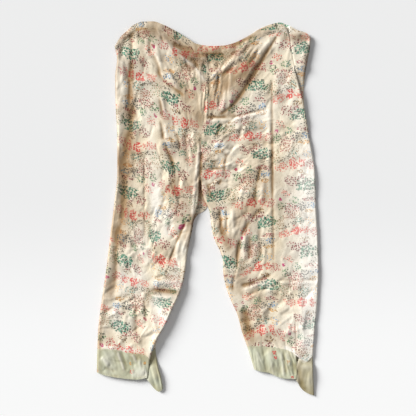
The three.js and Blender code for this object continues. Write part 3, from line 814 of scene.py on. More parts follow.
def back_strips(y):
    """Where the back shows beside the front: each strip's near and far side, and how much it is a roll."""
    right_tongue = 0.6 * smooth((-290 - y) / 20) + 0.4 * smooth((-335 - y) / 15)
    left_tongue = 0.45 * smooth((-300 - y) / 20) + 0.55 * smooth((-336 - y) / 14)
    return (
        (left_front_side(y), left_side(y), smooth(y / 20)),
        (right_inner(y), right_back_inner(y), right_tongue),
        (left_cuff_edge(y), left_side(y), left_tongue),
    )


def back_height(x, y):
    """The middle of the back's cloth: flat beneath the front, and a soft roll where it shows beside it."""
    lift = np.zeros_like(x)
    full = ROLL_RISE + folds_sum(x, y, BACK_FOLDS)[0] + 0.5 * swell(x, y, longest=60, shortest=20)
    full *= TIP_SHARE + (1 - TIP_SHARE) * smooth((y - ROLL_TIP) / TIP_LENGTH)
    for start, end, shows in back_strips(y):
        clear = ROLL_CLEAR - 10 * flush(x, y)
        width = np.maximum(end - start - ROLL_CLEAR, 1e-6)
        edge = np.sqrt(1 - (1 - np.clip((end - x) / ROLL_EDGE, 0, 1)) ** 2)
        rolled = smooth((x - start - clear) / ROLL_START) * edge
        lift += full * shows * np.clip(width / ROLL_WIDTH, 0, 1) * rolled
    return BACK_Z + lift


def between(low, high):
    """Distance from the folded sides of a cuff's front."""
    return lambda x, y: np.minimum(BRISKER * (x - low(y)), SHARPER * (high(y) - x))


# ---------------------------------------------------------------- meshes
Patch = namedtuple("Patch", "low high top bottom")


def plan_of(patch, across, along):
    """Places in plan of a grid of points, from the low side to the high one and from the top down."""
    t = np.linspace(0, 1, across + 1)
    u = 0.7 * t + 0.3 * (1 - np.cos(math.pi * t)) / 2
    u, v = np.meshgrid(u, np.linspace(0, 1, along + 1))
    y = np.zeros_like(u)
    x = patch.low(y) + (patch.high(y) - patch.low(y)) * u
    for _ in range(24):
        y = patch.top(x) + (patch.bottom(x) - patch.top(x)) * v
        x = patch.low(y) + (patch.high(y) - patch.low(y)) * u
    return x, y


def browned_and_shaded_at(x, y):
    """How much browner the silk is at each point, or paler where it is under 0: painted shade along folded
    edges, painted shade and painted light along the marks, partly the silk's own age browning.
    """
    total = SIDE_SHADE * np.exp(-(((x - right_side(y)) / SHADED_EDGE) ** 2))
    total += INSEAM_SHADE * np.exp(-(((x - left_inner(y)) / SHADED_EDGE) ** 2)) * (y < INSEAM_TOP)
    for mark in SHADE_LIGHT_AND_AGEING:
        dx, dy = mark.x2 - mark.x1, mark.y2 - mark.y1
        t = np.clip(((x - mark.x1) * dx + (y - mark.y1) * dy) / (dx * dx + dy * dy), 0, 1)
        away = np.hypot(x - mark.x1 - t * dx, y - mark.y1 - t * dy)
        total += mark.amount * np.exp(-((away / mark.width) ** 3))
    return total


def blurred(grid, passes):
    """A grid of heights with each point evened out with its neighbours, again and again."""
    for _ in range(passes):
        padded = np.pad(grid, 1, mode="edge")
        grid = (padded[:-2, 1:-1] + padded[2:, 1:-1] + padded[1:-1, :-2] + padded[1:-1, 2:]) / 4
    return grid


def cloth_place(side, x, y):
    """Where a point of a leg lies in the print's repeat, in millimetres across and down it."""
    lattice = LATTICES[side]
    dragged, felt = np.zeros((2,) + np.shape(x)), np.ones(np.shape(x))
    for drag in DRAGS:
        weight = np.exp(-((x - drag.x) ** 2 + (y - drag.y) ** 2) / drag.reach**2)
        dragged += weight * np.array((drag.dx, drag.dy)).reshape((2,) + (1,) * np.ndim(x))
        felt += weight
    felt = np.maximum(felt - 1, 1)
    x, y = x - dragged[0] / felt, y - dragged[1] / felt
    bowed = x - lattice.bow * (1 - ((y - BOW_MIDDLE) / BOW_REACH) ** 2)
    steps = np.linalg.inv(np.column_stack((lattice.across, lattice.down)))
    dx, dy = bowed - lattice.origin[0], y - lattice.origin[1]
    columns = steps[0, 0] * dx + steps[0, 1] * dy
    rows = steps[1, 0] * dx + steps[1, 1] * dy
    drift = DRIFT * swell(x, y, seed=23, waves=8, longest=220, shortest=90)
    across = lattice.way * columns * PRINT_WIDTH
    down = lattice.way * (rows + columns / 2) * PRINT_HEIGHT
    return across + drift, down + drift


def new_mesh(name, points, faces):
    """A new object from points in millimetres."""
    mesh = bpy.data.meshes.new(name)
    mesh.from_pydata((np.asarray(points) * MM).tolist(), [], faces)
    mesh.update()
    piece = bpy.data.objects.new(name, mesh)
    bpy.context.collection.objects.link(piece)
    return piece


def sheet_mesh(name, patch, cells, height, side, shift):
    """A sheet over a patch, with its place in the print as a UV map, and its hollows and crests."""
    across, along = cells
    x, y = plan_of(patch, across, along)
    z = height(x, y)
    points = np.stack((x, y, z), axis=-1).reshape(-1, 3)
    first = (np.arange(along)[:, None] * (across + 1) + np.arange(across)).reshape(-1, 1)
    faces = (first + np.array([0, across + 1, across + 2, 1])).tolist()
    piece = new_mesh(name, points, faces)
    mesh = piece.data
    mesh.shade_smooth()
    edge_of = np.empty(len(mesh.loops), int)
    mesh.loops.foreach_get("edge_index", edge_of)
    border = np.bincount(edge_of, minlength=len(mesh.edges)) == 1
    mesh.attributes.new("sharp_edge", "BOOLEAN", "EDGE").data.foreach_set("value", border)
    u, v = cloth_place(side, x, y)
    places = np.stack((u + shift[0], v + shift[1]), axis=-1).reshape(-1, 2) * MM
    corners = np.empty(len(mesh.loops), int)
    mesh.loops.foreach_get("vertex_index", corners)
    layer = mesh.uv_layers.new(name="cloth")
    layer.data.foreach_set("uv", places[corners].ravel())
    # Painted shade where the cloth lies below its evened-out neighbours, painted highlight where it lies
    # above.
    depth = blurred(z, EVEN_PASSES) - z
    _, hollow, crest = folds_sum(x, y, FOLDS)
    hollow = hollow + np.clip(depth, 0, DEEP) / FULL_DEPTH
    crest = crest + np.clip(-depth, 0, DEEP) / FULL_DEPTH
    # Over 0 browner, under 0 paler: painted shade and painted light, partly the silk's own age.
    browned_and_shaded = browned_and_shaded_at(x, y)
    marks = (("hollow", hollow), ("crest", crest), ("browned_and_shaded", browned_and_shaded), ("bleached_and_lit", -browned_and_shaded))
    for label, values in marks:
        attribute = mesh.attributes.new(label, "FLOAT", "POINT")
        attribute.data.foreach_set("value", np.clip(values, 0, 1).ravel())
    return piece


def stitching(name, line, start, end, height):
    """A row of stitches along a line of the cloth, each a short rounded thread that dips in at its ends."""
    x = np.linspace(start, end, 1500)
    run = np.append(0, np.cumsum(np.hypot(np.diff(x), np.diff(line(x)))))
    first = np.arange(STITCH_PITCH, run[-1] - STITCH_PITCH, STITCH_PITCH)
    t = np.linspace(0, 1, STITCH_RINGS)
    x = np.interp(first[:, None] + t * STITCH_LENGTH, run, x)
    middle = np.stack((x, line(x), height(x, line(x))), axis=-1)
    middle[..., 2] += CLOTH / 2 + THREAD * (np.sin(math.pi * t) - 0.6)
    way = middle[:, -1:] - middle[:, :1]
    way /= np.linalg.norm(way, axis=-1, keepdims=True)
    aside = np.cross((0.0, 0.0, 1.0), way)
    above = np.cross(way, aside)
    turn = np.linspace(0, 2 * math.pi, STITCH_SIDES, endpoint=False)[:, None]
    radius = THREAD * np.sqrt(0.25 + 0.75 * np.sin(math.pi * t))[None, :, None, None]
    around = np.cos(turn) * aside[:, :, None] + np.sin(turn) * above[:, :, None]
    points = middle[:, :, None] + radius * around
    faces = []
    for base in range(0, points.size // 3, STITCH_RINGS * STITCH_SIDES):
        for ring in range(base, base + (STITCH_RINGS - 1) * STITCH_SIDES, STITCH_SIDES):
            for side in range(STITCH_SIDES):
                beside = (side + 1) % STITCH_SIDES
                over = ring + STITCH_SIDES
                faces.append((ring + side, ring + beside, over + beside, over + side))
        last = base + (STITCH_RINGS - 1) * STITCH_SIDES
        faces.append(tuple(range(base + STITCH_SIDES - 1, base - 1, -1)))
        faces.append(tuple(range(last, last + STITCH_SIDES)))
    piece = new_mesh(name, points.reshape(-1, 3), faces)
    piece.data.shade_smooth()
    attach(piece, "root")
    return piece


# ---------------------------------------------------------------- shader helpers
def add(tree, kind, inputs=(), **settings):
    """A new node. Each input is a socket to link or a value to set; None leaves it alone."""
    node = tree.nodes.new(kind)
    for name, value in settings.items():
        setattr(node, name, value)
    pairs = inputs.items() if isinstance(inputs, dict) else enumerate(inputs)
    for key, value in pairs:
        if isinstance(value, bpy.types.NodeSocket):
            tree.links.new(value, node.inputs[key])
        elif value is not None:
            node.inputs[key].default_value = value
    return node


def calc(tree, operation, *inputs, clamp=False):
    """The result of a Math node."""
    return add(tree, "ShaderNodeMath", inputs, operation=operation, use_clamp=clamp).outputs[0]


def blend_colour(tree, share, low, high, how="MIX"):
    """The colour low, with a share of the colour high mixed or multiplied in."""
    node = add(tree, "ShaderNodeMix", data_type="RGBA", blend_type=how)
    for socket, value in ((node.inputs[0], share), (node.inputs[6], low), (node.inputs[7], high)):
        if isinstance(value, bpy.types.NodeSocket):
            tree.links.new(value, socket)
        else:
            socket.default_value = value
    return node.outputs[2]


def ramp(tree, value, low, high):
    """0 where value is low, 1 where it is high."""
    inputs = {"Value": value, "From Min": low, "From Max": high}
    return add(tree, "ShaderNodeMapRange", inputs, interpolation_type="SMOOTHSTEP").outputs[0]


def group(name, inputs, outputs):
    """A new shader node group with named inputs, each (name, kind, default), and outputs."""
    tree = bpy.data.node_groups.new(name, "ShaderNodeTree")
    for label, kind, default in inputs:
        socket = tree.interface.new_socket(label, in_out="INPUT", socket_type="NodeSocket" + kind)
        if default is not None:
            socket.default_value = default
    for label, kind in outputs:
        tree.interface.new_socket(label, in_out="OUTPUT", socket_type="NodeSocket" + kind)
    return tree, tree.nodes.new("NodeGroupInput").outputs


def close_group(tree, **values):
    """Links each named output of a group to its value."""
    end = tree.nodes.new("NodeGroupOutput")
    for label, socket in values.items():
        tree.links.new(socket, end.inputs[label])
    return tree


def use(tree, node_group, **inputs):
    """The outputs of a group placed in a material, with its own values or links."""
    node = tree.nodes.new("ShaderNodeGroup")
    node.node_tree = node_group
    for label, value in inputs.items():
        key = label.replace("_", " ")
        if isinstance(value, bpy.types.NodeSocket):
            tree.links.new(value, node.inputs[key])
        else:
            node.inputs[key].default_value = value
    return node.outputs


def mark_on_cloth(tree, name):
    """A mark that the sheets carry from point to point, from 0 to 1."""
    return add(tree, "ShaderNodeAttribute", attribute_name=name).outputs["Fac"]


# ---------------------------------------------------------------- node groups
def spray_group():
    """One spray of flecks of the print, drawn over a colour wherever the half-drop repeat puts it."""
    tree, given = group(
        "spray",
        [
            ("Colour", "Color", None),
            ("Place", "Vector", None),
            ("Middle", "Vector", None),
            ("Radii", "Vector", None),
            ("Turn", "Float", 0.0),
            ("Ring", "Float", 0.0),
            ("Dot", "Float", 0.0),
            ("Pick", "Float", 0.0),
            ("Ink", "Color", None),
            ("Accent", "Color", None),
            ("Cover", "Float", 1.0),
        ],
        [("Colour", "Color"), ("Mask", "Float")],
    )
    width, height = PRINT_WIDTH * MM, PRINT_HEIGHT * MM
    away = add(tree, "ShaderNodeVectorMath", (given["Place"], given["Middle"]), operation="SUBTRACT")
    apart = add(tree, "ShaderNodeSeparateXYZ", (away.outputs[0],))
    column = calc(tree, "ROUND", calc(tree, "DIVIDE", apart.outputs[0], width))
    x = calc(tree, "SUBTRACT", apart.outputs[0], calc(tree, "MULTIPLY", column, width))
    dropped = calc(tree, "SUBTRACT", apart.outputs[1], calc(tree, "MULTIPLY", column, height / 2))
    row = calc(tree, "ROUND", calc(tree, "DIVIDE", dropped, height))
    y = calc(tree, "SUBTRACT", dropped, calc(tree, "MULTIPLY", row, height))
    local = add(tree, "ShaderNodeCombineXYZ", (x, y))
    turned = add(
        tree,
        "ShaderNodeVectorRotate",
        {"Vector": local.outputs[0], "Angle": given["Turn"]},
        rotation_type="Z_AXIS",
    )
    scaled = add(tree, "ShaderNodeVectorMath", (turned.outputs[0], given["Radii"]), operation="DIVIDE")
    radius = add(tree, "ShaderNodeVectorMath", (scaled.outputs[0],), operation="LENGTH").outputs["Value"]
    spread_of = add(tree, "ShaderNodeSeparateXYZ", (scaled.outputs[0],)).outputs
    thick = calc(tree, "SUBTRACT", 1.0, calc(tree, "MULTIPLY", given["Ring"], 0.94))
    off_ring = calc(tree, "ABSOLUTE", calc(tree, "SUBTRACT", radius, given["Ring"]))
    body = calc(tree, "SUBTRACT", 1.0, calc(tree, "DIVIDE", off_ring, thick))
    mouth = calc(tree, "SUBTRACT", 1.0, ramp(tree, calc(tree, "ABSOLUTE", spread_of[0]), 0.4, 0.8))
    foot = calc(tree, "MULTIPLY", ramp(tree, spread_of[1], 0.1, 0.6), mouth)
    foot = calc(tree, "MULTIPLY", foot, calc(tree, "MULTIPLY", given["Ring"], 3.0))
    ragged = calc(tree, "MULTIPLY", calc(tree, "SUBTRACT", given["Pick"], 0.5), 0.5)
    full = calc(tree, "ADD", calc(tree, "SUBTRACT", body, foot), ragged)
    inner = ramp(tree, full, 0.0, 0.3)
    reach = calc(tree, "MULTIPLY", inner, calc(tree, "MULTIPLY", given["Cover"], 0.44))
    kept = calc(tree, "GREATER_THAN", calc(tree, "FRACT", calc(tree, "MULTIPLY", given["Pick"], 13.7)), 0.12)
    mask = calc(tree, "MULTIPLY", calc(tree, "SUBTRACT", reach, given["Dot"]), 12.0, clamp=True)
    mask = calc(tree, "MULTIPLY", mask, kept)
    spread = calc(tree, "FRACT", calc(tree, "MULTIPLY", given["Pick"], 7.3))
    chosen = blend_colour(tree, ramp(tree, spread, 0.58, 0.68), given["Ink"], given["Accent"])
    wash = calc(tree, "MULTIPLY", inner, calc(tree, "MULTIPLY", given["Cover"], 0.11))
    washed = blend_colour(tree, wash, given["Colour"], given["Ink"])
    over = blend_colour(tree, calc(tree, "MULTIPLY", mask, 0.9), washed, chosen)
    return close_group(tree, Colour=over, Mask=mask)


def weave_group():
    """The height of a plain weave with slubs, and the tint that uneven threads give it."""
    tree, given = group(
        "weave",
        [("Place", "Vector", None), ("Threads", "Float", 1500.0), ("Slubs", "Float", 0.5)],
        [("Height", "Float"), ("Tint", "Float")],
    )
    apart = add(tree, "ShaderNodeSeparateXYZ", (given["Place"],)).outputs
    turns = calc(tree, "MULTIPLY", given["Threads"], math.pi)
    warp = calc(tree, "SINE", calc(tree, "MULTIPLY", apart[0], turns))
    weft = calc(tree, "SINE", calc(tree, "MULTIPLY", apart[1], turns))
    threads = calc(tree, "MULTIPLY", warp, weft)
    streaks = []
    for stretch in ((60.0, 1500.0, 1.0), (1500.0, 50.0, 1.0)):
        drawn_out = add(tree, "ShaderNodeVectorMath", (given["Place"], stretch), operation="MULTIPLY")
        noise = {"Vector": drawn_out.outputs[0], "Scale": 1.0, "Detail": 1.0}
        streaks.append(add(tree, "ShaderNodeTexNoise", noise).outputs[0])
    uneven = calc(tree, "ADD", *streaks)
    uneven = calc(tree, "MULTIPLY", uneven, given["Slubs"])
    height = calc(tree, "ADD", calc(tree, "MULTIPLY", threads, 0.25), uneven)
    return close_group(tree, Height=height, Tint=ramp(tree, uneven, 0.25, 0.75))


def crumple_group():
    """The height of a net of small sharp creases, as silk keeps once it has been crushed."""
    tree, given = group(
        "crumple",
        [("Place", "Vector", None), ("Scale", "Float", 28.0), ("Warp", "Float", 0.012)],
        [("Height", "Float")],
    )
    noise = add(tree, "ShaderNodeTexNoise", {"Vector": given["Place"], "Scale": 22.0, "Detail": 2.0})
    centred = add(tree, "ShaderNodeVectorMath", (noise.outputs[1], (0.5, 0.5, 0.5)), operation="SUBTRACT")
    shift = add(tree, "ShaderNodeVectorMath", {0: centred.outputs[0], 3: given["Warp"]}, operation="SCALE")
    warped = add(tree, "ShaderNodeVectorMath", (given["Place"], shift.outputs[0]), operation="ADD")
    heights = []
    for scale, weight in ((1.0, 0.24), (2.3, 0.24)):
        size = calc(tree, "MULTIPLY", given["Scale"], scale)
        cells = add(
            tree,
            "ShaderNodeTexVoronoi",
            {"Vector": warped.outputs[0], "Scale": size},
            voronoi_dimensions="2D",
            feature="DISTANCE_TO_EDGE",
        )
        heights.append(calc(tree, "MULTIPLY", calc(tree, "SQRT", cells.outputs[0]), weight))
    squeeze = (1.0, 0.55, 1.0)
    stretched = add(tree, "ShaderNodeVectorMath", (warped.outputs[0], squeeze), operation="MULTIPLY")
    finer = calc(tree, "MULTIPLY", given["Scale"], 1.8)
    ridges = add(
        tree,
        "ShaderNodeTexNoise",
        {"Vector": stretched.outputs[0], "Scale": finer, "Detail": 3.5},
        noise_type="RIDGED_MULTIFRACTAL",
    )
    net = calc(tree, "ADD", *heights)
    return close_group(tree, Height=calc(tree, "ADD", net, calc(tree, "MULTIPLY", ridges.outputs[0], 0.85)))


def shade_and_wear_group():
    """Painted shade in the hollows of the folds, painted highlights on their crests, browner and paler marks
    that are partly painted shade and light and partly age, and faint brown stains.
    """
    tree, given = group(
        "shade_and_wear",
        [
            ("Colour", "Color", None),
            ("Place", "Vector", None),
            ("Soil", "Color", None),
            ("Soiling", "Float", 0.85),
            ("Bleaching", "Float", 0.3),
        ],
        [("Colour", "Color"), ("Roughness", "Float")],
    )
    hollow = mark_on_cloth(tree, "hollow")
    crest = mark_on_cloth(tree, "crest")
    blotch = add(tree, "ShaderNodeTexNoise", {"Vector": given["Place"], "Scale": 16.0, "Detail": 4.0})
    stained = ramp(tree, blotch.outputs[0], 0.45, 0.75)
    browned_and_shaded = mark_on_cloth(tree, "browned_and_shaded")
    uneven = calc(tree, "MULTIPLY", browned_and_shaded, ramp(tree, blotch.outputs[0], 0.1, 0.6))
    # Painted shade: hollows and browner marks are multiplied towards the shade-and-soil colour.
    shading_and_soiling = calc(tree, "MULTIPLY", given["Soiling"], calc(tree, "ADD", hollow, uneven), clamp=True)
    shaded_and_soiled = blend_colour(tree, shading_and_soiling, given["Colour"], given["Soil"], how="MULTIPLY")
    bleached_and_lit = mark_on_cloth(tree, "bleached_and_lit")
    clean = calc(tree, "SUBTRACT", 1.0, calc(tree, "MULTIPLY", bleached_and_lit, 1.6), clamp=True)
    stain = calc(tree, "MULTIPLY", calc(tree, "MULTIPLY", stained, 0.45), clean)
    aged = blend_colour(tree, stain, shaded_and_soiled, given["Soil"], how="MULTIPLY")
    patchy = calc(tree, "MULTIPLY", bleached_and_lit, 0.35)
    # Painted highlight: crests and paler marks are lightened towards near white.
    highlight_and_bleach = calc(tree, "ADD", calc(tree, "MULTIPLY", crest, given["Bleaching"]), patchy, clamp=True)
    pale = blend_colour(tree, highlight_and_bleach, aged, ink(250, 246, 238))
    rough = calc(tree, "MULTIPLY", calc(tree, "SUBTRACT", hollow, crest), 0.08)
    return close_group(tree, Colour=pale, Roughness=rough)


# ---------------------------------------------------------------- materials
def new_material(name):
    """An empty material and its node tree."""
    material = bpy.data.materials.new(name)
    material.use_nodes = True
    tree = material.node_tree
    tree.nodes.clear()
    return material, tree


def finish_material(tree, bsdf):
    """Links the shader to the material's output."""
    tree.links.new(bsdf.outputs[0], add(tree, "ShaderNodeOutputMaterial").inputs[0])


def place_in_cloth(tree):
    """Where a point lies in the flat cloth, in metres."""
    return add(tree, "ShaderNodeUVMap", uv_map="cloth").outputs[0]


def raised(tree, heights):
    """Bumps laid over each other, from (height, depth in metres, strength) rows."""
    normal = None
    for height, depth, strength in heights:
        inputs = {"Height": height, "Distance": depth, "Strength": strength, "Normal": normal}
        normal = add(tree, "ShaderNodeBump", inputs).outputs[0]
    return normal


def figured_silk(groups):
    """Cream silk with a print of sprays of flecks, crushed, with painted shade and painted highlights along
    its folds, and browner and paler marks that are partly age.
    """
    material, tree = new_material("figured_silk")
    place = place_in_cloth(tree)
    cells = add(
        tree,
        "ShaderNodeTexVoronoi",
        {"Vector": place, "Scale": 262.0, "Randomness": 0.75},
        voronoi_dimensions="2D",
        feature="F1",
    )
    pick = add(tree, "ShaderNodeSeparateColor", (cells.outputs["Color"],)).outputs[0]
    weave = use(tree, groups["weave"], Place=place)
    crumple = use(tree, groups["crumple"], Place=place)
    tone = add(tree, "ShaderNodeTexNoise", {"Vector": place, "Scale": 7.0, "Detail": 3.0})
    colour = blend_colour(
        tree, ramp(tree, tone.outputs[0], 0.35, 0.65), ink(247, 234, 208), ink(236, 228, 212)
    )
    colour = blend_colour(tree, calc(tree, "MULTIPLY", weave["Tint"], 0.12), colour, ink(222, 204, 170))
    # Painted light: paler where the cloth's marks say, partly faded silk.
    bleached_and_lit = mark_on_cloth(tree, "bleached_and_lit")
    colour = blend_colour(tree, bleached_and_lit, colour, ink(255, 250, 240))
    chance = calc(tree, "FRACT", calc(tree, "MULTIPLY", pick, 31.7))
    stray = calc(tree, "MULTIPLY", calc(tree, "SUBTRACT", 0.2, cells.outputs["Distance"]), 9.0, clamp=True)
    stray = calc(tree, "MULTIPLY", stray, calc(tree, "GREATER_THAN", chance, 0.66))
    colour = blend_colour(tree, calc(tree, "MULTIPLY", stray, 0.5), colour, TAN)
    printed = 0.0
    for spray in SPRAYS:
        drawn = use(
            tree,
            groups["spray"],
            Colour=colour,
            Place=place,
            Middle=(spray.x * MM, spray.y * MM, 0.0),
            Radii=(spray.width * MM, spray.height * MM, 1.0),
            Turn=math.radians(spray.turn),
            Ring=spray.ring,
            Dot=cells.outputs["Distance"],
            Pick=pick,
            Ink=spray.ink,
            Accent=spray.accent,
            Cover=spray.cover,
        )
        colour = drawn["Colour"]
        printed = calc(tree, "MAXIMUM", printed, drawn["Mask"])
    # The shade-and-soil colour tints the painted shade in the hollows and the stains.
    shade_and_wear = use(tree, groups["shade_and_wear"], Colour=colour, Place=place, Soil=ink(172, 148, 120))
    duller = calc(tree, "MULTIPLY", printed, 0.1)
    roughness = calc(tree, "ADD", calc(tree, "ADD", shade_and_wear["Roughness"], 0.5), duller)
    normal = raised(tree, ((crumple["Height"], 0.0022, 0.58), (weave["Height"], 0.0002, 0.5)))
    bsdf = add(
        tree,
        "ShaderNodeBsdfPrincipled",
        {
            "Base Color": shade_and_wear["Colour"],
            "Roughness": roughness,
            "Normal": normal,
            "Specular IOR Level": 0.35,
            "Sheen Weight": 0.25,
            "Sheen Roughness": 0.4,
        },
    )
    finish_material(tree, bsdf)
    return material


def plain_satin(name, groups, colour, light, warm, sprigs):
    """A plain satin, faded unevenly towards a light and a warm tint, with a few loose flecks."""
    material, tree = new_material(name)
    place = place_in_cloth(tree)
    weave = use(tree, groups["weave"], Place=place, Threads=1900.0, Slubs=0.35)
    crumple = use(tree, groups["crumple"], Place=place, Scale=42.0, Warp=0.009)
    cells = add(
        tree,
        "ShaderNodeTexVoronoi",
        {"Vector": place, "Scale": 300.0},
        voronoi_dimensions="2D",
        feature="F1",
    )
    pick = add(tree, "ShaderNodeSeparateColor", (cells.outputs["Color"],)).outputs[0]
    patch = add(tree, "ShaderNodeTexNoise", {"Vector": place, "Scale": 24.0, "Detail": 3.0})
    fade = add(tree, "ShaderNodeTexNoise", {"Vector": place, "Scale": 13.0, "Detail": 2.0})
    tint = blend_colour(tree, ramp(tree, patch.outputs[0], 0.42, 0.68), colour, light)
    tint = blend_colour(tree, ramp(tree, fade.outputs[0], 0.5, 0.7), tint, warm)
    for sprig in sprigs:
        across, down = cloth_place(sprig.side, np.float64(sprig.x), np.float64(sprig.y))
        drawn = use(
            tree,
            groups["spray"],
            Colour=tint,
            Place=place,
            Middle=(float(across) * MM, float(down) * MM, 0.0),
            Radii=(sprig.width * MM, sprig.height * MM, 1.0),
            Dot=cells.outputs["Distance"],
            Pick=pick,
            Ink=sprig.ink,
            Accent=sprig.accent,
            Cover=sprig.cover,
        )
        tint = drawn["Colour"]
    # The shade-and-soil colour tints the painted shade in the hollows and the stains; crests get a painted
    # highlight.
    shade_and_wear = use(tree, groups["shade_and_wear"], Colour=tint, Place=place, Soil=ink(188, 175, 141), Bleaching=0.45)
    normal = raised(tree, ((crumple["Height"], 0.001, 0.5), (weave["Height"], 0.00012, 0.5)))
    bsdf = add(
        tree,
        "ShaderNodeBsdfPrincipled",
        {
            "Base Color": shade_and_wear["Colour"],
            "Roughness": calc(tree, "ADD", shade_and_wear["Roughness"], 0.4),
            "Normal": normal,
            "Specular IOR Level": 0.45,
            "Sheen Weight": 0.2,
            "Sheen Roughness": 0.35,
        },
    )
    finish_material(tree, bsdf)
    return material


def sewing_thread():
    """Twisted cream thread."""
    material, tree = new_material("sewing_thread")
    place = add(tree, "ShaderNodeTexCoord").outputs["Object"]
    twist = add(
        tree,
        "ShaderNodeTexWave",
        {"Vector": place, "Scale": 900.0, "Distortion": 1.5, "Detail": 1.0},
        wave_type="BANDS",
        bands_direction="DIAGONAL",
    )
    tone = add(tree, "ShaderNodeTexNoise", {"Vector": place, "Scale": 60.0, "Detail": 2.0}).outputs[0]
    colour = blend_colour(tree, ramp(tree, tone, 0.35, 0.65), ink(226, 212, 182), ink(196, 178, 142))
    colour = blend_colour(tree, calc(tree, "MULTIPLY", twist.outputs[1], 0.25), colour, ink(150, 130, 100))
    bsdf = add(
        tree,
        "ShaderNodeBsdfPrincipled",
        {
            "Base Color": colour,
            "Roughness": calc(tree, "ADD", calc(tree, "MULTIPLY", tone, 0.2), 0.45),
            "Normal": raised(tree, ((twist.outputs[1], 0.0001, 0.6),)),
            "Sheen Weight": 0.3,
        },
    )
    finish_material(tree, bsdf)
    return material


def floor_material():
    """Matt white, a little greyer towards the far end: painted shade for the light's falloff across the
    floor.
    """
    material, tree = new_material("floor")
    place = add(tree, "ShaderNodeTexCoord").outputs["Object"]
    height = add(tree, "ShaderNodeSeparateXYZ", (place,)).outputs[1]
    colour = blend_colour(tree, ramp(tree, height, -0.33, 0.05), ink(249, 250, 252), ink(237, 238, 240))
    bsdf = add(tree, "ShaderNodeBsdfPrincipled", {"Base Color": colour, "Roughness": 0.9})
    finish_material(tree, bsdf)
    return material


# ---------------------------------------------------------------- the garment
TUCK_DEPTH = 1  # how far an edge dips beneath its neighbour
TUCK_START = 1  # distance below the seam at which it starts to dip
TUCK_RUN = 3  # width over which it dips
GATHER_RISE = 1.2  # how far the casing stands up between its two lines
GATHER_RIPPLE = 0.8  # and how far its gathers ripple
GATHER_MIDDLE = 5  # where across the waist they are drawn up most
GATHER_REACH = 60


def tucked(height, line):
    """A sheet that dips where it runs on above a line, beneath its neighbour."""
    return lambda x, y: height(x, y) - TUCK_DEPTH * smooth((y - line(x) + TUCK_START) / TUCK_RUN)


def gathered(height, top, seed):
    """A casing: a soft tube between two lines of stitching, drawn up into small uneven gathers."""

    def tube(x, y):
        down = np.clip((top(x) - y) / CASING_DEPTH, 0, 1)
        ripple = swell(x, y * 0.2, seed=seed, waves=16, longest=26, shortest=7)
        drawn = 0.5 + 0.5 * np.exp(-(((x - GATHER_MIDDLE) / GATHER_REACH) ** 2))
        full = GATHER_RISE + GATHER_RIPPLE * ripple * drawn
        return height(x, y) + np.sin(math.pi * down) ** 1.3 * full

    return tube


Piece = namedtuple("Piece", "sheet node rows")


def cut_out(node, patch, cells, height, cloth, thread, sewn=()):
    """One piece of the garment, cut, laid and sewn. Each row of stitches is (line, start, end)."""
    cut = CUTS[node]
    sheet = sheet_mesh(SHORT_NAMES[cut.slot] + node, patch, cells, height, cut.side, cut.shift)
    sheet.data.materials.append(cloth)
    rows = []
    for number, (line, start, end) in enumerate(sewn, 1):
        row = stitching("stitches_%s_%d" % (node, number), line, start, end, height)
        row.data.materials.append(thread)
        rows.append(row)
    return Piece(sheet, node, rows)


def cut_legs(silk, thread):
    """The fronts and backs of both legs, from just under the casing to the cuffs."""
    casing_foot = lowered(front_waist, CASING_DEPTH)
    back_casing_foot = lowered(back_waist, CASING_DEPTH)
    under_casing = lowered(front_waist, CASING_DEPTH - TUCK)
    front = tucked(front_height(inside_leg), casing_foot)
    patches = (
        ("front_right_leg", right_side, right_inner, right_cuff_seam),
        ("front_left_leg", left_inner, left_front_side, left_cuff_seam),
        ("back_right_leg", right_side, right_back_inner, back_cuff_seam),
        ("back_left_leg", left_inner, left_side, back_cuff_seam),
    )
    pieces = []
    for node, low, high, foot in patches:
        if node.startswith("front"):
            pieces.append(cut_out(node, Patch(low, high, under_casing, foot), FINE, front, silk, thread))
        else:
            patch = Patch(low, high, back_casing_foot, foot)
            pieces.append(cut_out(node, patch, COARSE, back_height, silk, thread))
    return pieces


def cut_casing(silk, thread):
    """The front and the back of the casing along the waist."""
    bands = (
        ("waistband_front", left_front_side, front_waist, front_height(inside_leg), 61),
        ("waistband_back", left_side, back_waist, back_height, 62),
    )
    pieces = []
    for node, high, waist, height, seed in bands:
        foot = lowered(waist, CASING_DEPTH)
        sewn = [(moved(foot, SEAM_STITCH), *CASING_ROWS[node])]
        patch = Patch(right_side, high, waist, foot)
        pieces.append(cut_out(node, patch, BAND, gathered(height, waist, seed), silk, thread, sewn))
    return pieces


def cut_cuffs(satins, thread):
    """The fronts and backs of both cuffs."""
    patches = (
        ("cuff_right_front", right_side, right_inner, right_cuff_seam, RIGHT_HEM),
        ("cuff_left_front", left_inner, left_cuff_edge, left_cuff_seam, LEFT_HEM),
        ("cuff_right_back", right_side, right_back_inner, back_cuff_seam, RIGHT_BACK_HEM),
        ("cuff_left_back", left_inner, left_side, back_cuff_seam, LEFT_BACK_HEM),
    )
    pieces = []
    for node, low, high, seam, hem in patches:
        foot = through(hem)
        sewn = [(moved(foot, HEM_STITCH), *HEM_ROWS[node])]
        top, height = seam, back_height
        if node in SEAM_ROWS:
            sewn.append((moved(seam, -SEAM_STITCH), *SEAM_ROWS[node]))
            top, height = moved(seam, TUCK), tucked(front_height(between(low, high)), seam)
        patch = Patch(low, high, top, foot)
        pieces.append(cut_out(node, patch, CUFF, height, satins[node], thread, sewn))
    return pieces


def declare(piece):
    """Gives a piece its thickness, fixes it to the root and hides the solid that it replaces."""
    cut = CUTS[piece.node]
    whole = cut.flat[0] * cut.flat[1]
    area = sum(face.area for face in piece.sheet.data.polygons)
    area = min(max(area, LEAST_SHARE * whole), whole)
    solid = piece.sheet.modifiers.new("thickness", "SOLIDIFY")
    solid.thickness = CLOTH * MM
    solid.offset = 0
    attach(piece.sheet, "root")
    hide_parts(piece.node)
    for row in piece.rows:
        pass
    under = [] if "back" in piece.node else [piece.node.replace("front", "back")]
    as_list(piece.rows)


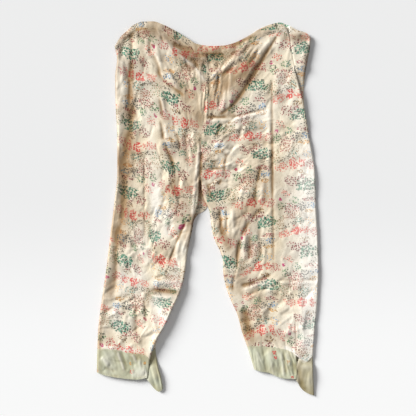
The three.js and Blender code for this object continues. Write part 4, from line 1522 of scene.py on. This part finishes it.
def garment():
    """The trousers: legs, casing and cuffs, with their stitches."""
    groups = {
        "spray": spray_group(),
        "weave": weave_group(),
        "crumple": crumple_group(),
        "shade_and_wear": shade_and_wear_group(),
    }
    silk = figured_silk(groups)
    sage = (ink(194, 195, 170), ink(210, 214, 190), ink(204, 198, 166))
    deep_sage = (ink(180, 182, 154), ink(204, 208, 184), ink(196, 190, 154))
    olive = (ink(180, 172, 142), ink(202, 196, 170), ink(176, 164, 128))
    front_satin = plain_satin("sage_satin", groups, *sage, SPRIGS)
    satins = {
        "cuff_right_front": front_satin,
        "cuff_left_front": front_satin,
        "cuff_right_back": plain_satin("plain_sage_satin", groups, *deep_sage, ()),
        "cuff_left_back": plain_satin("olive_satin", groups, *olive, ()),
    }
    thread = sewing_thread()
    for piece in cut_legs(silk, thread) + cut_casing(silk, thread) + cut_cuffs(satins, thread):
        declare(piece)


# ---------------------------------------------------------------- stage
FLOOR_REACH = 3000
FLOOR_Z = -0.3
VIEW_WIDTH = 0.9152  # metres of the floor that the view takes in
CAMERA_PLACE = (0.00055, 0.0011, 3.0)
SENSOR = 36  # width of the camera's sensor
SUN_ELEVATION = math.radians(25)
SUN_AZIMUTH = math.radians(150)
SUN_SIZE = math.radians(26)
SUN_STRENGTH = 5.3
SUN_TINT = (0.99, 0.985, 0.965)
SKY_TINT = (0.99, 0.98, 0.965, 1.0)
SKY_STRENGTH = 0.29


def stage():
    """A plain pale floor just under the garment."""
    corners = ((-1, -1), (1, -1), (1, 1), (-1, 1))
    points = [(x * FLOOR_REACH, y * FLOOR_REACH, FLOOR_Z) for x, y in corners]
    floor = new_mesh("floor", points, [(0, 1, 2, 3)])
    floor.data.materials.append(floor_material())


def look():
    """The camera, straight above, and soft light from the upper left."""
    camera = bpy.data.objects.new("camera", bpy.data.cameras.new("camera"))
    camera.data.sensor_width = SENSOR
    camera.data.lens = SENSOR * CAMERA_PLACE[2] / VIEW_WIDTH
    camera.location = CAMERA_PLACE
    bpy.context.collection.objects.link(camera)
    bpy.context.scene.camera = camera

    sun = bpy.data.objects.new("sun", bpy.data.lights.new("sun", "SUN"))
    sun.data.energy = SUN_STRENGTH
    sun.data.angle = SUN_SIZE
    sun.data.color = SUN_TINT
    level = math.cos(SUN_ELEVATION)
    toward = Vector((level * math.cos(SUN_AZIMUTH), level * math.sin(SUN_AZIMUTH), math.sin(SUN_ELEVATION)))
    sun.rotation_euler = toward.to_track_quat("Z", "Y").to_euler()
    bpy.context.collection.objects.link(sun)

    world = bpy.data.worlds.new("world")
    bpy.context.scene.world = world
    world.use_nodes = True
    sky = world.node_tree.nodes["Background"]
    sky.inputs[0].default_value = SKY_TINT
    sky.inputs[1].default_value = SKY_STRENGTH
    bpy.context.scene.view_settings.view_transform = "Standard"


garment()
stage()
look()
